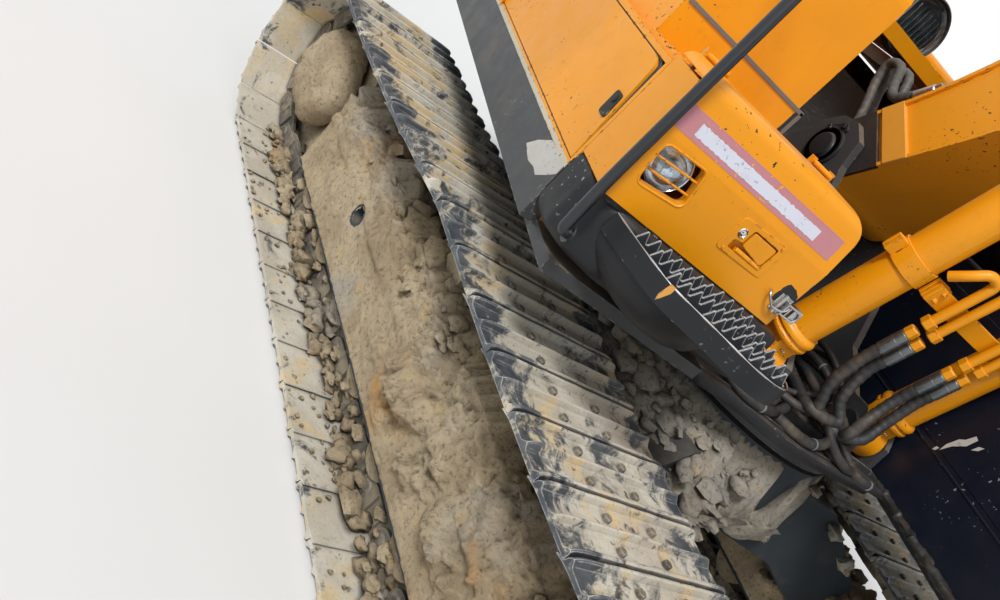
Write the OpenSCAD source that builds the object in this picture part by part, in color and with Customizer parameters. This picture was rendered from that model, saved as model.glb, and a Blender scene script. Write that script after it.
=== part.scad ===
// Crawler excavator of the 16 to 17 tonne class, whole machine, in millimetres.
// X points to the front of the upper structure, Y to its left and Z up; the ground is Z = 0.
// The upper structure is turned a little to the right of the tracks, as the machine stands.

/* [Undercarriage] */
// Distance between the sprocket and idler axles
tumbler_span = 3100; // [2980:10:3220]
// Distance between the centre lines of the two tracks
track_gauge = 2000; // [1960:10:2100]
// Width of a track shoe
shoe_w = 600; // [500:10:640]
// Number of shoes round one track
shoe_count = 43; // [42:1:45]
// Radius of the chain's pin circle round sprocket and idler
chain_r = 322; // [310:1:330]
// Angle from the upper structure's heading to the heading of the tracks, to the left
track_turn = 13; // [0:1:20]
// Height of the chain's pin line above the grouser tips
pin_height = 80; // [78:1:84]
// Thickness of a shoe's plate
shoe_t = 12; // [10:1:14]
// Half height of a chain link's side bar
link_half_h = 45; // [42:1:46]
// Width of one chain rail
rail_w = 35; // [30:1:36]
// Distance between the inner faces of the two chain rails
rail_gap = 120; // [112:2:122]
// Rise of the chain over the carrier roller
carrier_rise = 25; // [10:1:30]
// Sag of the chain in each free stretch of the top run
chain_sag = 24; // [10:1:30]
// Place of the carrier roller along the track, from the middle
carrier_x = -60; // [-160:10:160]
// Number of lower rollers a side
roller_count = 7; // [6:1:7]
// Radius of a roller's tread
roller_r = 78; // [74:1:80]
// Width of the box of a track frame
frame_w = 300; // [290:2:304]
// Plate thickness of the track frame's lower skirts
frame_t = 20; // [16:1:22]
// Height of the underside of the centre frame
belly_z = 480; // [460:5:500]

/* [Upper structure] */
// Width of the upper structure
house_w = 2490; // [2470:10:2510]
// Swing radius of the counterweight
tail_r = 2550; // [2500:10:2600]
// Height of the underside of the revolving frame
deck_z = 1010; // [1000:2:1020]
// Thickness of the revolving frame's main plate
deck_t = 35; // [30:1:40]
// Height of the top of the side skirts
skirt_top = 1200; // [1190:2:1206]
// Front end of the counterweight, behind the swing axis
cw_front = -1780; // [-1800:5:-1760]
// Height of the counterweight's top
cw_top = 2060; // [2000:10:2100]
// Height of the engine hood's top
hood_top = 2200; // [2160:10:2240]
// Front of the toolbox, ahead of the swing axis
box_front = 770; // [750:5:800]
// Height of the toolbox's top
box_top = 1592; // [1560:2:1620]
// Width of the toolbox
box_w = 610; // [560:5:630]
// Height of the fuel tank's top
tank_top = 2070; // [2020:10:2120]

/* [Cab] */
// Front of the cab's lower part
cab_front = 1250; // [1220:5:1280]
// Back of the cab
cab_back = -480; // [-520:5:-440]
// Underside of the cab
cab_z = 1050; // [1048:1:1056]
// Top of the cab's roof
cab_top = 2890; // [2840:10:2940]
// Distance from the middle of the machine to the cab's right wall
cab_side = 375; // [372:1:380]
// Thickness of the cab's walls, door and roof
cab_t = 50; // [40:1:60]

/* [Boom] */
// Length of the boom between its end pins
boom_len = 5100; // [5000:10:5200]
// Angle of the boom's pin line above the ground, as it stands
boom_angle = 34; // [30:1:38]
// Width of the boom
boom_w = 400; // [380:2:400]
// Distance of the boom cylinders' rod pin from the foot pin
rod_pin_r = 2250; // [2200:10:2300]
// Angle of that pin above the boom's pin line
rod_pin_a = 25; // [24:0.5:26]
// Height of the foot pin
foot_z = 1638; // [1620:2:1660]
// Sideways place of a boom cylinder's axis
ram_y = 290; // [288:1:294]
// Outer diameter of the boom cylinders
ram_od = 125; // [120:1:128]
// Rod diameter of the boom cylinders
ram_rod = 75; // [70:1:80]

/* [Arm and bucket] */
// Length of the arm between its pins
arm_len = 2580; // [2500:10:2660]
// Angle of the arm's pin line, as it stands
arm_angle = -94; // [-98:1:-90]
// Width of the arm
arm_w = 280; // [260:2:284]
// Radius from the bucket pin to the teeth
bucket_r = 1330; // [1300:10:1360]
// Width of the bucket over its side plates
bucket_w = 1050; // [900:10:1150]
// Angle of the bucket's tooth line against the arm, as it stands
bucket_angle = -70; // [-90:1:-50]

/* [Hidden] */
$fn = 48;
fit = 0.05;                                   // radial clearance of a pin in its bore
seat = 0.3;                                   // gap between faces that move past each other
run = 5;                                      // side clearance of moving pieces

// Plane geometry in [x, z]
function polar(r, a) = [r * cos(a), r * sin(a)];
function direction(v) = atan2(v[1], v[0]);
function turned(p, a) = [p[0] * cos(a) - p[1] * sin(a), p[0] * sin(a) + p[1] * cos(a)];
// Where circles round a and b meet, on the left of a to b for side = 1
function meeting(a, ra, b, rb, side) =
  let (d = norm(b - a), u = (b - a) / d, k = (ra * ra - rb * rb + d * d) / (2 * d))
  a + u * k + side * sqrt(ra * ra - k * k) * [-u[1], u[0]];
// An outline whose corners [x, y, radius] are rounded by arcs
function rounded(corners, steps = 6) = [
  for (i = [0:len(corners) - 1])
    let (
      n = len(corners), p = corners[i],
      a = corners[(i + n - 1) % n], b = corners[(i + 1) % n],
      o = [p[0], p[1]], u = [a[0] - p[0], a[1] - p[1]], v = [b[0] - p[0], b[1] - p[1]],
      un = u / norm(u), vn = v / norm(v), half = acos(un * vn) / 2, r = p[2]
    )
    each (r == 0 ? [o] : let (
      m = (un + vn) / norm(un + vn), c = o + m * r / sin(half), t = o + un * r / tan(half),
      e = o + vn * r / tan(half), s = direction(t - c), w = direction(e - c) - s,
      sweep = w > 180 ? w - 360 : w < -180 ? w + 360 : w
    ) [for (k = [0:steps]) c + polar(r, s + sweep * k / steps)])
];

// An [x, z] outline made solid from y0 to y1
module slab(points, y0, y1) {
  translate([0, y1, 0]) rotate([90, 0, 0]) linear_extrude(y1 - y0) polygon(points);
}
// A [y, z] outline made solid from x0 to x1
module beam(points, x0, x1) {
  translate([x0, 0, 0]) rotate([90, 0, 90]) linear_extrude(x1 - x0) polygon(points);
}
// A pin or bore across the machine
module cross_pin(p, r, y0, y1) {
  translate([p[0], y1, p[1]]) rotate([90, 0, 0]) cylinder(r = r, h = y1 - y0);
}
// A block from corner to corner
module block(low, high) {
  translate(low) cube(high - low);
}
// A round rod between two points
module strut(a, b, r) {
  v = b - a;
  translate(a) rotate([0, acos(v[2] / norm(v)), atan2(v[1], v[0])]) cylinder(r = r, h = norm(v));
}
// A pipe through points; its straights run past one another a little at each bend
module pipe(points, r, past = 0) {
  n = len(points) - 1;
  for (i = [0:n - 1]) let (u = (points[i + 1] - points[i]) / norm(points[i + 1] - points[i]))
    strut(points[i] - (i > 0 ? u * past : [0, 0, 0]), points[i + 1] + (i < n - 1 ? u * past : [0, 0,
      0]), r);
  if (past == 0) for (i = [1:n - 1]) translate(points[i]) sphere(r = r + 0.5);
}
// Both of a mirrored pair
module both_sides() {
  children();
  mirror([0, 1, 0]) children();
}
module under_place() {
  translate([axis_x, 0, 0]) rotate(track_turn) children();
}
module house_place() {
  translate([axis_x, 0, 0]) children();
}
// Hinges: sleeves along Z with their bore, and the pin that runs through them
hinge_r = 8;
module sleeves(p, along, spots, length) {
  for (s = spots) translate(p) rotate(along) translate([0, 0, s]) cylinder(r = hinge_r + 6, h = length);
}
module sleeve_bore(p, along, low, high) {
  translate(p) rotate(along) translate([0, 0, low]) cylinder(r = hinge_r + fit, h = high - low);
}
module hinge_pin(p, along, low, high) {
  translate(p) rotate(along) translate([0, 0, low]) cylinder(r = hinge_r, h = high - low);
}
upright = [0, 0, 0];
across = [-90, 0, 0];
// Turns a piece drawn in the [x, z] frame of a pin into place there
module hang(pin, angle) {
  translate([pin[0], 0, pin[1]]) rotate([0, -angle, 0]) children();
}

// The arm, along X from the boom's end pin, and the place of the swing axis that this gives
foot_pin = [-145, foot_z];
boom_tip = polar(boom_len, boom_angle) + foot_pin;
arm_outline = [
  [-760, 330], [-640, 450], [-100, 330], [300, 300], [arm_len - 130, 90], [arm_len, 105], [arm_len + 100, 0],
  [arm_len, -105], [arm_len - 140, -120], [400, -260], [0, -190], [-160, -130]
];
front_reach = boom_tip[0] + max([for (p = arm_outline) turned(p, arm_angle)[0]]);
axis_x = (tail_r - front_reach) / 2;

// Undercarriage, drawn along its own X before it is turned
half_span = tumbler_span / 2;
track_y = track_gauge / 2;
axle_z = chain_r + pin_height;
top_pin_z = axle_z + chain_r;
carrier_pin_z = top_pin_z + carrier_rise;
arc_len = PI * chain_r;
path_len = 2 * tumbler_span + 2 * arc_len;
shoe_pitch = path_len / shoe_count;
plate_out = pin_height - 26;                  // outer face of the shoe plates, from the pin line
plate_in = plate_out - shoe_t;
half_link_a = asin(shoe_pitch / 2 / chain_r);
tread_r = (chain_r - link_half_h) * cos(half_link_a) - seat;

function top_z(x) = let (
  front = x > carrier_x,
  end = front ? half_span : -half_span,
  u = (x - carrier_x) / (end - carrier_x)
) carrier_pin_z - carrier_rise * u - 4 * chain_sag * u * (1 - u);
// The pin line: bottom run to the front, up round the idler, back over the top, down round the sprocket
function path(s) =
  s < tumbler_span ? [s - half_span, pin_height]
  : s < tumbler_span + arc_len
    ? [half_span, axle_z] + polar(chain_r, (s - tumbler_span) / chain_r * 180 / PI - 90)
  : s < 2 * tumbler_span + arc_len
    ? let (x = half_span - (s - tumbler_span - arc_len)) [x, top_z(x)]
  : [-half_span, axle_z] + polar(chain_r, (s - 2 * tumbler_span - arc_len) / chain_r * 180 / PI + 90);
pins = [for (i = [0:shoe_count - 1]) path(i * shoe_pitch)];
function along(i) = let (v = pins[(i + 1) % shoe_count] - pins[i % shoe_count]) v / norm(v);
function outward(i) = let (t = along(i)) [t[1], -t[0]];
function pin_out(i, v) = let (m = outward(i) + outward(i + shoe_count - 1)) pins[i] + m / norm(m) * v;
// One shoe from pin to pin: [share of the pitch, height above the plate]
grousers = [[0.01, 0], [0.04, 26], [0.1, 26], [0.14, 0], [0.46, 0], [0.5, 25], [0.54, 0], [0.88, 0],
  [0.94, 26]];
shoe_outline = [
  for (i = [0:shoe_count - 1]) for (g = grousers)
    pins[i] + along(i) * g[0] * norm(pins[(i + 1) % shoe_count] - pins[i]) + outward(i) * (plate_out + g[1])
];
module ring(outer, inner, y0, y1) {
  n = len(outer);
  m = len(inner);
  translate([0, y1, 0]) rotate([90, 0, 0]) linear_extrude(y1 - y0)
    polygon(concat(outer, inner), [[for (i = [0:n - 1]) i], [for (i = [0:m - 1]) n + i]]);
}
module track_loop() {
  inner = [for (i = [0:shoe_count - 1]) pin_out(i, plate_in)];
  rail_in = [for (i = [0:shoe_count - 1]) pin_out(i, -link_half_h)];
  rail_out = [for (i = [0:shoe_count - 1]) pin_out(i, plate_in + 2)];
  ring(shoe_outline, inner, -shoe_w / 2, shoe_w / 2);
  both_sides() ring(rail_out, rail_in, rail_gap / 2, rail_gap / 2 + rail_w);
}
module track_right() { color("dimgray") under_place() translate([0, -track_y, 0]) track_loop(); }
module track_left() { color("dimgray") under_place() translate([0, track_y, 0]) track_loop(); }

// Track frame: its section across the machine, flat inner and outer sides and a roof that sheds mud
roller_z = pin_height + link_half_h + roller_r + seat;
flange_r = roller_r + 17;
frame_half = frame_w / 2;
frame_low = roller_z - 20;
frame_floor = roller_z + flange_r + run;
frame_shoulder = 430;
frame_roof = 560;
frame_ridge = 70;
frame_end = half_span - 400;
function roof_z(y) =
  frame_roof - max(0, abs(y) - frame_ridge) * (frame_roof - frame_shoulder) / (frame_half - frame_ridge);
frame_section = [
  [-frame_half, frame_low], [-frame_half, frame_shoulder], [-frame_ridge, frame_roof],
  [frame_ridge, frame_roof], [frame_half, frame_shoulder], [frame_half, frame_low],
  [frame_half - frame_t, frame_low], [frame_half - frame_t, frame_floor],
  [frame_t - frame_half, frame_floor], [frame_t - frame_half, frame_low]
];
motor_r = 150;
drive_r = 225;
// side is 1 where the outer face looks to +Y
module track_frame(side) {
  inboard = -side;
  difference() {
    beam(frame_section, -frame_end, frame_end);
    cross_pin([-567, 387], 35, side > 0 ? frame_half - 60 : -frame_half - 1,
      side > 0 ? frame_half + 1 : 60 - frame_half);
  }
  // Bracket of the final drive, on the inner side
  low = inboard > 0 ? 102 : -132;
  difference() {
    union() {
      cross_pin([-half_span, axle_z], drive_r, low, low + 30);
      slab([[-half_span, axle_z - drive_r], [-frame_end + 60, frame_low + 20], [-frame_end + 60,
        frame_shoulder],
        [-half_span + 200, axle_z + 200], [-half_span, axle_z + drive_r]], low, low + 30);
    }
    cross_pin([-half_span, axle_z], motor_r, low - 1, low + 31);
  }
  // Guides of the idler
  both_sides() slab(
    [[frame_end, axle_z - 75], [half_span + 90, axle_z - 62], [half_span + 90, axle_z + 62],
      [frame_end, axle_z + 75]],
    frame_half - 30, frame_half);
}
module track_frame_right() { color("darkgray") under_place() translate([0, -track_y, 0]) track_frame(-1); }
module track_frame_left() { color("darkgray") under_place() translate([0, track_y, 0]) track_frame(1); }

// Centre frame: a drum for the swing ring on four legs
ring_r = 590;
ring_z = 900;
leg_plan = [[0, 0], [440, 0], [700, track_y - frame_half], [260, track_y - frame_half], [180, 480]];
frame_profile = [
  [0, belly_z], [480, belly_z], [track_y - frame_half, 330], [track_y - frame_half, 600], [480, 800],
    [0, 800]
];
module center_frame() {
  color("darkgray") under_place() difference() {
    union() {
      intersection() {
        union() for (a = [0, 1], b = [0, 1]) mirror([a, 0, 0]) mirror([0, b, 0])
          translate([0, 0, 300]) linear_extrude(600) polygon(leg_plan);
        union() for (b = [0, 1]) mirror([0, b, 0]) beam(frame_profile, -700, 700);
      }
      translate([0, 0, belly_z]) cylinder(r = 520, h = 800 - belly_z);
      translate([0, 0, 700]) cylinder(r = ring_r, h = ring_z - 700);
    }
    translate([0, 0, belly_z + 20]) cylinder(r = 400, h = ring_z);
    translate([0, 0, belly_z - 1]) cylinder(r = 190, h = 60);
  }
}

// Sprocket teeth stand between the rails; hub outside, motor inside
tooth_count = 21;
tooth_root = chain_r - 22;
module final_drive(side) {
  sprocket = [
    for (i = [0:tooth_count - 1]) for (k = [[0, 0], [0.22, 0], [0.42, 40], [0.58, 40], [0.78, 0]])
      polar(tooth_root + k[1], (i + k[0]) * 360 / tooth_count)
  ];
  translate([-half_span, 0, axle_z]) {
    translate([0, 28, 0]) rotate([90, 0, 0]) linear_extrude(56) polygon(sprocket);
    rotate([side > 0 ? -90 : 90, 0, 0]) {
      cylinder(r = 190, h = 120);
      cylinder(r = 150, h = 148);
      translate([0, 0, -102]) cylinder(r = 200, h = 102);
      translate([0, 0, -330]) cylinder(r = motor_r - seat, h = 330);
    }
  }
}
module final_drive_right() { color("darkgray") under_place() translate([0, -track_y, 0]) final_drive(-1); }
module final_drive_left() { color("darkgray") under_place() translate([0, track_y, 0]) final_drive(1); }

module idler() {
  translate([half_span, 0, axle_z]) rotate([90, 0, 0]) {
    rotate_extrude($fn = 72) polygon([
      [0, -100], [90, -100], [90, -70], [200, -40], [tread_r - 30, -rail_gap / 2 - rail_w], [tread_r,
        -rail_gap / 2 - rail_w],
      [tread_r, 6 - rail_gap / 2], [tread_r + 16, 12 - rail_gap / 2], [tread_r + 16, rail_gap / 2 - 12],
      [tread_r, rail_gap / 2 - 6], [tread_r, rail_gap / 2 + rail_w], [tread_r - 30, rail_gap / 2 + rail_w],
      [200, 40], [90, 70], [90, 100], [0, 100]
    ]);
    cylinder(r = 35, h = 2 * (frame_half - 30 - seat), center = true);
  }
  both_sides() block([half_span - 70, 100, axle_z - 55], [half_span + 70, frame_half - 30 - seat,
    axle_z + 55]);
}
module idler_right() { color("darkgray") under_place() translate([0, -track_y, 0]) idler(); }
module idler_left() { color("darkgray") under_place() translate([0, track_y, 0]) idler(); }

// A roller with its tread under or over the rails and a collar at each end
module roller(r) {
  w = rail_gap / 2 + rail_w;
  rotate([90, 0, 0]) {
    rotate_extrude() polygon([
      [0, -w - 15], [r + 17, -w - 15], [r + 17, -w - 3], [r, -w], [r, 6 - rail_gap / 2], [r - 20,
        14 - rail_gap / 2],
      [r - 20, rail_gap / 2 - 14], [r, rail_gap / 2 - 6], [r, w], [r + 17, w + 3], [r + 17, w + 15],
        [0, w + 15]
    ]);
    cylinder(r = 45, h = 2 * (frame_half - frame_t - seat), center = true);
  }
}
roller_reach = half_span - 570;
carrier_r = 66;
carrier_z = carrier_pin_z - link_half_h - carrier_r - 4;
module rollers(side) {
  for (i = [0:roller_count - 1])
    translate([-roller_reach + 2 * roller_reach * i / (roller_count - 1), 0, roller_z]) roller(roller_r);
  // Carrier roller on a bracket that stands on the inner slope of the frame
  translate([carrier_x, 0, carrier_z]) rotate([90, 0, 0]) cylinder(r = carrier_r,
    h = 2 * (rail_gap / 2 + rail_w), center = true);
  y0 = rail_gap / 2 + rail_w;
  y1 = y0 + 26;
  mirror([0, side > 0 ? 1 : 0, 0])
    beam([[y0, roof_z(y0)], [y1, roof_z(y1)], [y1, carrier_z + 50], [y0, carrier_z + 50]],
      carrier_x - 50, carrier_x + 50);
}
module rollers_right() { color("darkgray") under_place() translate([0, -track_y, 0]) rollers(-1); }
module rollers_left() { color("darkgray") under_place() translate([0, track_y, 0]) rollers(1); }

race_r = 515;
module swing_ring() {
  color("silver") under_place() translate([0, 0, ring_z]) difference() {
    cylinder(r = race_r, h = deck_z - ring_z - 15, $fn = 96);
    translate([0, 0, -1]) cylinder(r = 430, h = 200, $fn = 96);
  }
}

// Upper structure
side_y = house_w / 2;
deck_top = deck_z + deck_t;
ram_pin = [465, 1107];
plate_in_y = boom_w / 2 + run;
plate_t = 30;
plate_out_y = plate_in_y + plate_t;
ram_eye_w = 90;
lug_y = ram_y + ram_eye_w / 2 + run;
lug_t = 25;
cab_y0 = cab_side;
box_y = box_w - side_y;
module revolving_frame() {
  color("dimgray") house_place() {
    difference() {
      union() {
        translate([0, 0, deck_z]) linear_extrude(deck_t) polygon([
          [cw_front, -side_y + 40], [box_front - 20, -side_y + 40], [box_front - 20, box_y], [560, box_y],
          [560, cab_y0], [cab_front - 40, cab_y0], [cab_front - 40, side_y - 40], [cw_front, side_y - 40]
        ]);
        // Side skirts
        block([cw_front, -side_y, 1025], [box_rear, -side_y + 50, skirt_top]);
        block([cw_front, side_y - 50, 1025], [cab_front - 40, side_y, deck_top]);
        block([cw_front, side_y - 50, 1025], [cab_back - 10, side_y, skirt_top]);
        // Outer race of the swing ring
        translate([0, 0, ring_z + 15]) cylinder(r = ring_r, h = deck_z - ring_z - 15);
        // Plates that carry the boom foot and the boom cylinders
        both_sides() slab([
          [-800, deck_top], [-620, 1330], [-300, 1620], [-262, 1700], [-200, 1756], [-120, 1768], [-41,
            1727], [-10, 1640],
          [230, 1260], [395, 1178], [475, 1187], [540, 1137], [555, deck_top]
        ], plate_in_y, plate_out_y);
        both_sides() slab([[375, deck_top], [385, 1127], [425, 1177], [505, 1177], [543, 1127], [555,
          deck_top]],
          lug_y, lug_y + lug_t);
        // Cross wall between the boom plates
        block([-740, -plate_in_y, deck_top], [-700, plate_in_y, 1180]);
      }
      translate([0, 0, deck_z - 1]) cylinder(r = 200, h = deck_t + 2);
      translate([0, 0, ring_z]) cylinder(r = race_r + 1, h = deck_z - ring_z);
      // Room under the eyes of the boom cylinders
      both_sides() block([ram_pin[0] - 85, plate_out_y + 1, deck_top - 18], [ram_pin[0] + 85,
        lug_y - 1, deck_top + 1]);
    }
    // Pins of the boom foot and of the boom cylinders
    cross_pin(foot_pin, 45, -plate_out_y - 12, plate_out_y + 12);
    both_sides() cross_pin(foot_pin, 70, plate_out_y - 1, plate_out_y + 12);
    both_sides() cross_pin(ram_pin, 40, plate_out_y - 1, lug_y + lug_t + 5);
  }
}

module counterweight() {
  color("dimgray") house_place() difference() {
    intersection() {
      translate([0, 0, deck_z]) cylinder(r = tail_r, h = cw_top - deck_z, $fn = 96);
      slab(rounded([[cw_front, deck_z, 0], [cw_front, cw_top, 0], [-tail_r, cw_top, 140], [-tail_r,
        deck_z, 180]]), -side_y, side_y);
    }
    for (y = [-560, 560]) translate([-2100, y, cw_top - 90]) cylinder(r = 18, h = 100);
  }
}
module engine_block() {
  color("gray") house_place() block([-1650, -380, deck_top], [-900, 420, 1900]);
}

// Body panels behind the boom
wall = 25;
bay_front = -700;
door_low = skirt_top + 14;
hood_hinge = [-914, 0, hood_top - 50];
hood_spots = [-440, 400];
module engine_hood() {
  color("dimgray") house_place() difference() {
    union() {
      difference() {
        slab(rounded([[cw_front + 5, hood_top - 68, 0], [cw_front + 5, hood_top, 60], [-930, hood_top,
          40], [-930, hood_top - 68, 0]]), -620, 620);
        slab([[cw_front + 5 + wall, hood_top - 80], [cw_front + 5 + wall, hood_top - wall],
          [-930 - wall, hood_top - wall], [-930 - wall, hood_top - 80]],
          -620 + wall, 620 - wall);
      }
      sleeves(hood_hinge, across, hood_spots, 40);
      for (y = hood_spots) block([-935, y, hood_top - 58], [-918, y + 40, hood_top - 42]);
    }
    sleeve_bore(hood_hinge, across, -700, 700);
  }
}
left_front = cab_back - 15;
module rear_side_panels() {
  color("orange") house_place() difference() {
    union() {
      // Roof round the hood
      block([cw_front + 5, 620 + run, hood_top - 130], [left_front, side_y, hood_top - 70]);
      block([cw_front + 5, -side_y, hood_top - 130], [bay_front, -620 - run, hood_top - 70]);
      block([-925, -620 - run - 1, hood_top - 130], [bay_front, 620 + run + 1, hood_top - 70]);
      // Front walls
      block([left_front - wall, cab_y0, deck_top], [left_front, side_y, hood_top - 129]);
      block([bay_front - wall, -side_y, deck_top], [bay_front, -400, hood_top - 129]);
    }
    both_sides() block([cw_front, side_y - wall - 4, door_low - 6], [left_front - wall - 1, side_y + 1,
      hood_top - 129]);
    both_sides() block([cw_front, side_y - 51, deck_top - 1], [left_front + 1, side_y + 1, skirt_top + 1]);
  }
  // Lugs and pins of the hood and of the side doors
  color("orange") house_place() {
    for (y = hood_spots) {
      for (v = [y - 14, y + 42]) block([-923, v, hood_top - 71], [-902, v + 12, hood_top - 42]);
      hinge_pin([hood_hinge[0], y, hood_hinge[2]], across, -8, 48);
    }
    both_sides() {
      block([panel_hinge[0] - 12, side_y - 30, hood_top - 130], [panel_hinge[0] + 12,
        panel_hinge[1] + 12, hood_top - 110]);
      hinge_pin([panel_hinge[0], panel_hinge[1], 0], upright, skirt_top + 4, hood_top - 129);
    }
  }
}
panel_hinge = [cw_front + 22, side_y + 9];
module side_panel(x1) {
  low = door_low;
  high = hood_top - 135;
  p = [panel_hinge[0], panel_hinge[1], 0];
  difference() {
    union() {
      block([cw_front + 10, side_y - wall, low], [x1, side_y, high]);
      sleeves(p, upright, [low + 60, high - 120], 60);
    }
    for (i = [0:7]) block([cw_front + 130, side_y - 60, low + 160 + 45 * i], [cw_front + 430,
      side_y + 60, low + 178 + 45 * i]);
    sleeve_bore(p, upright, low, high);
  }
}
module pump_door_right() {
  color("orange") house_place() mirror([0, 1, 0]) side_panel(bay_front - wall - 6);
}
module radiator_door_left() {
  color("orange") house_place() side_panel(left_front - wall - 6);
}

box_lid = 1537;
tank_front = 300;
tank_split = -400;
module fuel_tank() {
  color("orange") house_place() slab(
    rounded([[tank_split + 3, box_lid, 0], [tank_split + 3, tank_top, 40], [tank_front, tank_top, 60],
      [tank_front, box_lid, 0]]), -side_y + 40, -730);
}
module hydraulic_tank() {
  color("orange") house_place() slab(
    rounded([[bay_front + 3, box_lid, 0], [bay_front + 3, tank_top, 40], [tank_split - 3, tank_top,
      40], [tank_split - 3, box_lid, 0]]), -side_y + 40, -730);
}
box_rear = 560;
side_hinge = [bay_front + 42, -side_y - 9, 0];
module tank_side_box() {
  color("orange") house_place() {
    difference() {
      block([bay_front + 3, -side_y, deck_top], [box_rear, -730, box_lid]);
      block([bay_front + 3 + wall, -side_y - 1, skirt_top + 10], [box_rear - 15, -side_y + 60, 1522]);
      block([bay_front, -side_y - 1, deck_top - 1], [box_rear + 1, -side_y + 50, skirt_top + 1]);
    }
    block([side_hinge[0] - 12, -side_y - 21, 1523], [side_hinge[0] + 12, -side_y + 1, box_lid]);
    hinge_pin(side_hinge, upright, skirt_top + 4, 1524);
  }
}
module side_door_right() {
  color("orange") house_place() difference() {
    union() {
      slab(rounded([[bay_front + 32, door_low, 0], [bay_front + 32, 1518, 0], [box_rear - 45, 1518,
        40], [box_rear - 20, door_low, 0]]), -side_y, -side_y + 30);
      sleeves(side_hinge, upright, [door_low + 30, 1440], 50);
    }
    sleeve_bore(side_hinge, upright, door_low, 1520);
  }
}
cover_hinge = [box_rear - 5, 0, box_top + 8];
cover_spots = [-side_y + 60, box_y - 120];
module toolbox() {
  color("orange") house_place() {
    difference() {
      slab([[box_rear + 3, 1250], [box_front - 35, 1250], [box_front - 35, 1436], [box_front - 60,
        box_top - 36],
        [box_rear + 3, box_top - 36]], -side_y, box_y);
      block([box_rear + 28, -side_y + 25, 1275], [box_front, box_y - 25, box_top]);
    }
    for (y = cover_spots) {
      for (v = [y - 14, y + 62]) {
        block([box_rear - 17, v, box_lid], [box_rear, v + 12, box_top + 20]);
        block([box_rear - 1, v, box_lid], [box_rear + 4, v + 12, box_top - 36]);
      }
      hinge_pin([cover_hinge[0], y, cover_hinge[2]], across, -8, 68);
    }
  }
}
lamp_window = [[-side_y + 24, 1420], [-side_y + 149, 1431], [-side_y + 173, 1337], [-side_y + 38, 1319]];
module toolbox_cover() {
  color("orange") house_place() difference() {
    union() {
      intersection() {
        slab(rounded([
          [box_front - 30, 1252, 0], [box_front, 1252, 0], [box_front, 1440, 40], [box_front - 25,
            box_top, 40],
          [box_rear + 3, box_top, 0], [box_rear + 3, box_top - 30, 0], [box_front - 55, box_top - 30, 0],
          [box_front - 30, 1440, 0]
        ]), -side_y, box_y);
        beam(rounded([[-side_y, 1250, 0], [-side_y, box_top + 1, 45], [box_y, box_top + 1, 60], [box_y,
          1250, 0]]),
          box_rear, box_front + 1);
      }
      sleeves([cover_hinge[0], 0, cover_hinge[2]], across, cover_spots, 60);
      for (y = cover_spots) block([box_rear - 5, y, box_top - 2], [box_rear + 20, y + 60, box_top + 8]);
    }
    sleeve_bore([cover_hinge[0], 0, cover_hinge[2]], across, -side_y, box_y);
    beam(lamp_window, box_front - 60, box_front + 10);
  }
}
module front_step() {
  color("dimgray") house_place() {
    block([box_rear + 3, -side_y, deck_top], [box_front + 60, box_y + 60, 1247]);
    block([box_front + 60, -side_y + 60, 1225], [1050, box_y + 100, 1237]);
  }
}
rail_y = -side_y - 22;
module handrails() {
  color("dimgray") house_place() {
    pipe([
      [box_front + 28, rail_y, 1137], [box_front + 16, rail_y, 1290], [box_front + 8, rail_y, 2030],
      [box_front - 190, rail_y + 40, 2130], [box_rear - 80, rail_y + 40, 2130], [box_rear - 80,
        rail_y + 40, box_lid]
    ], 15);
    strut([box_front + 28, rail_y, 1137], [box_front + 28, -side_y, 1137], 15);
    translate([box_front + 28, rail_y, 1137]) sphere(r = 15.5);
  }
}
module work_lamp() {
  color("silver") house_place() {
    translate([box_front - 85, -side_y + 97, 1377]) rotate([0, 90, 0]) cylinder(r = 55, h = 40);
    block([box_front - 80, -side_y + 25, 1360], [box_front - 55, -side_y + 60, 1394]);
  }
}

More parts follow.
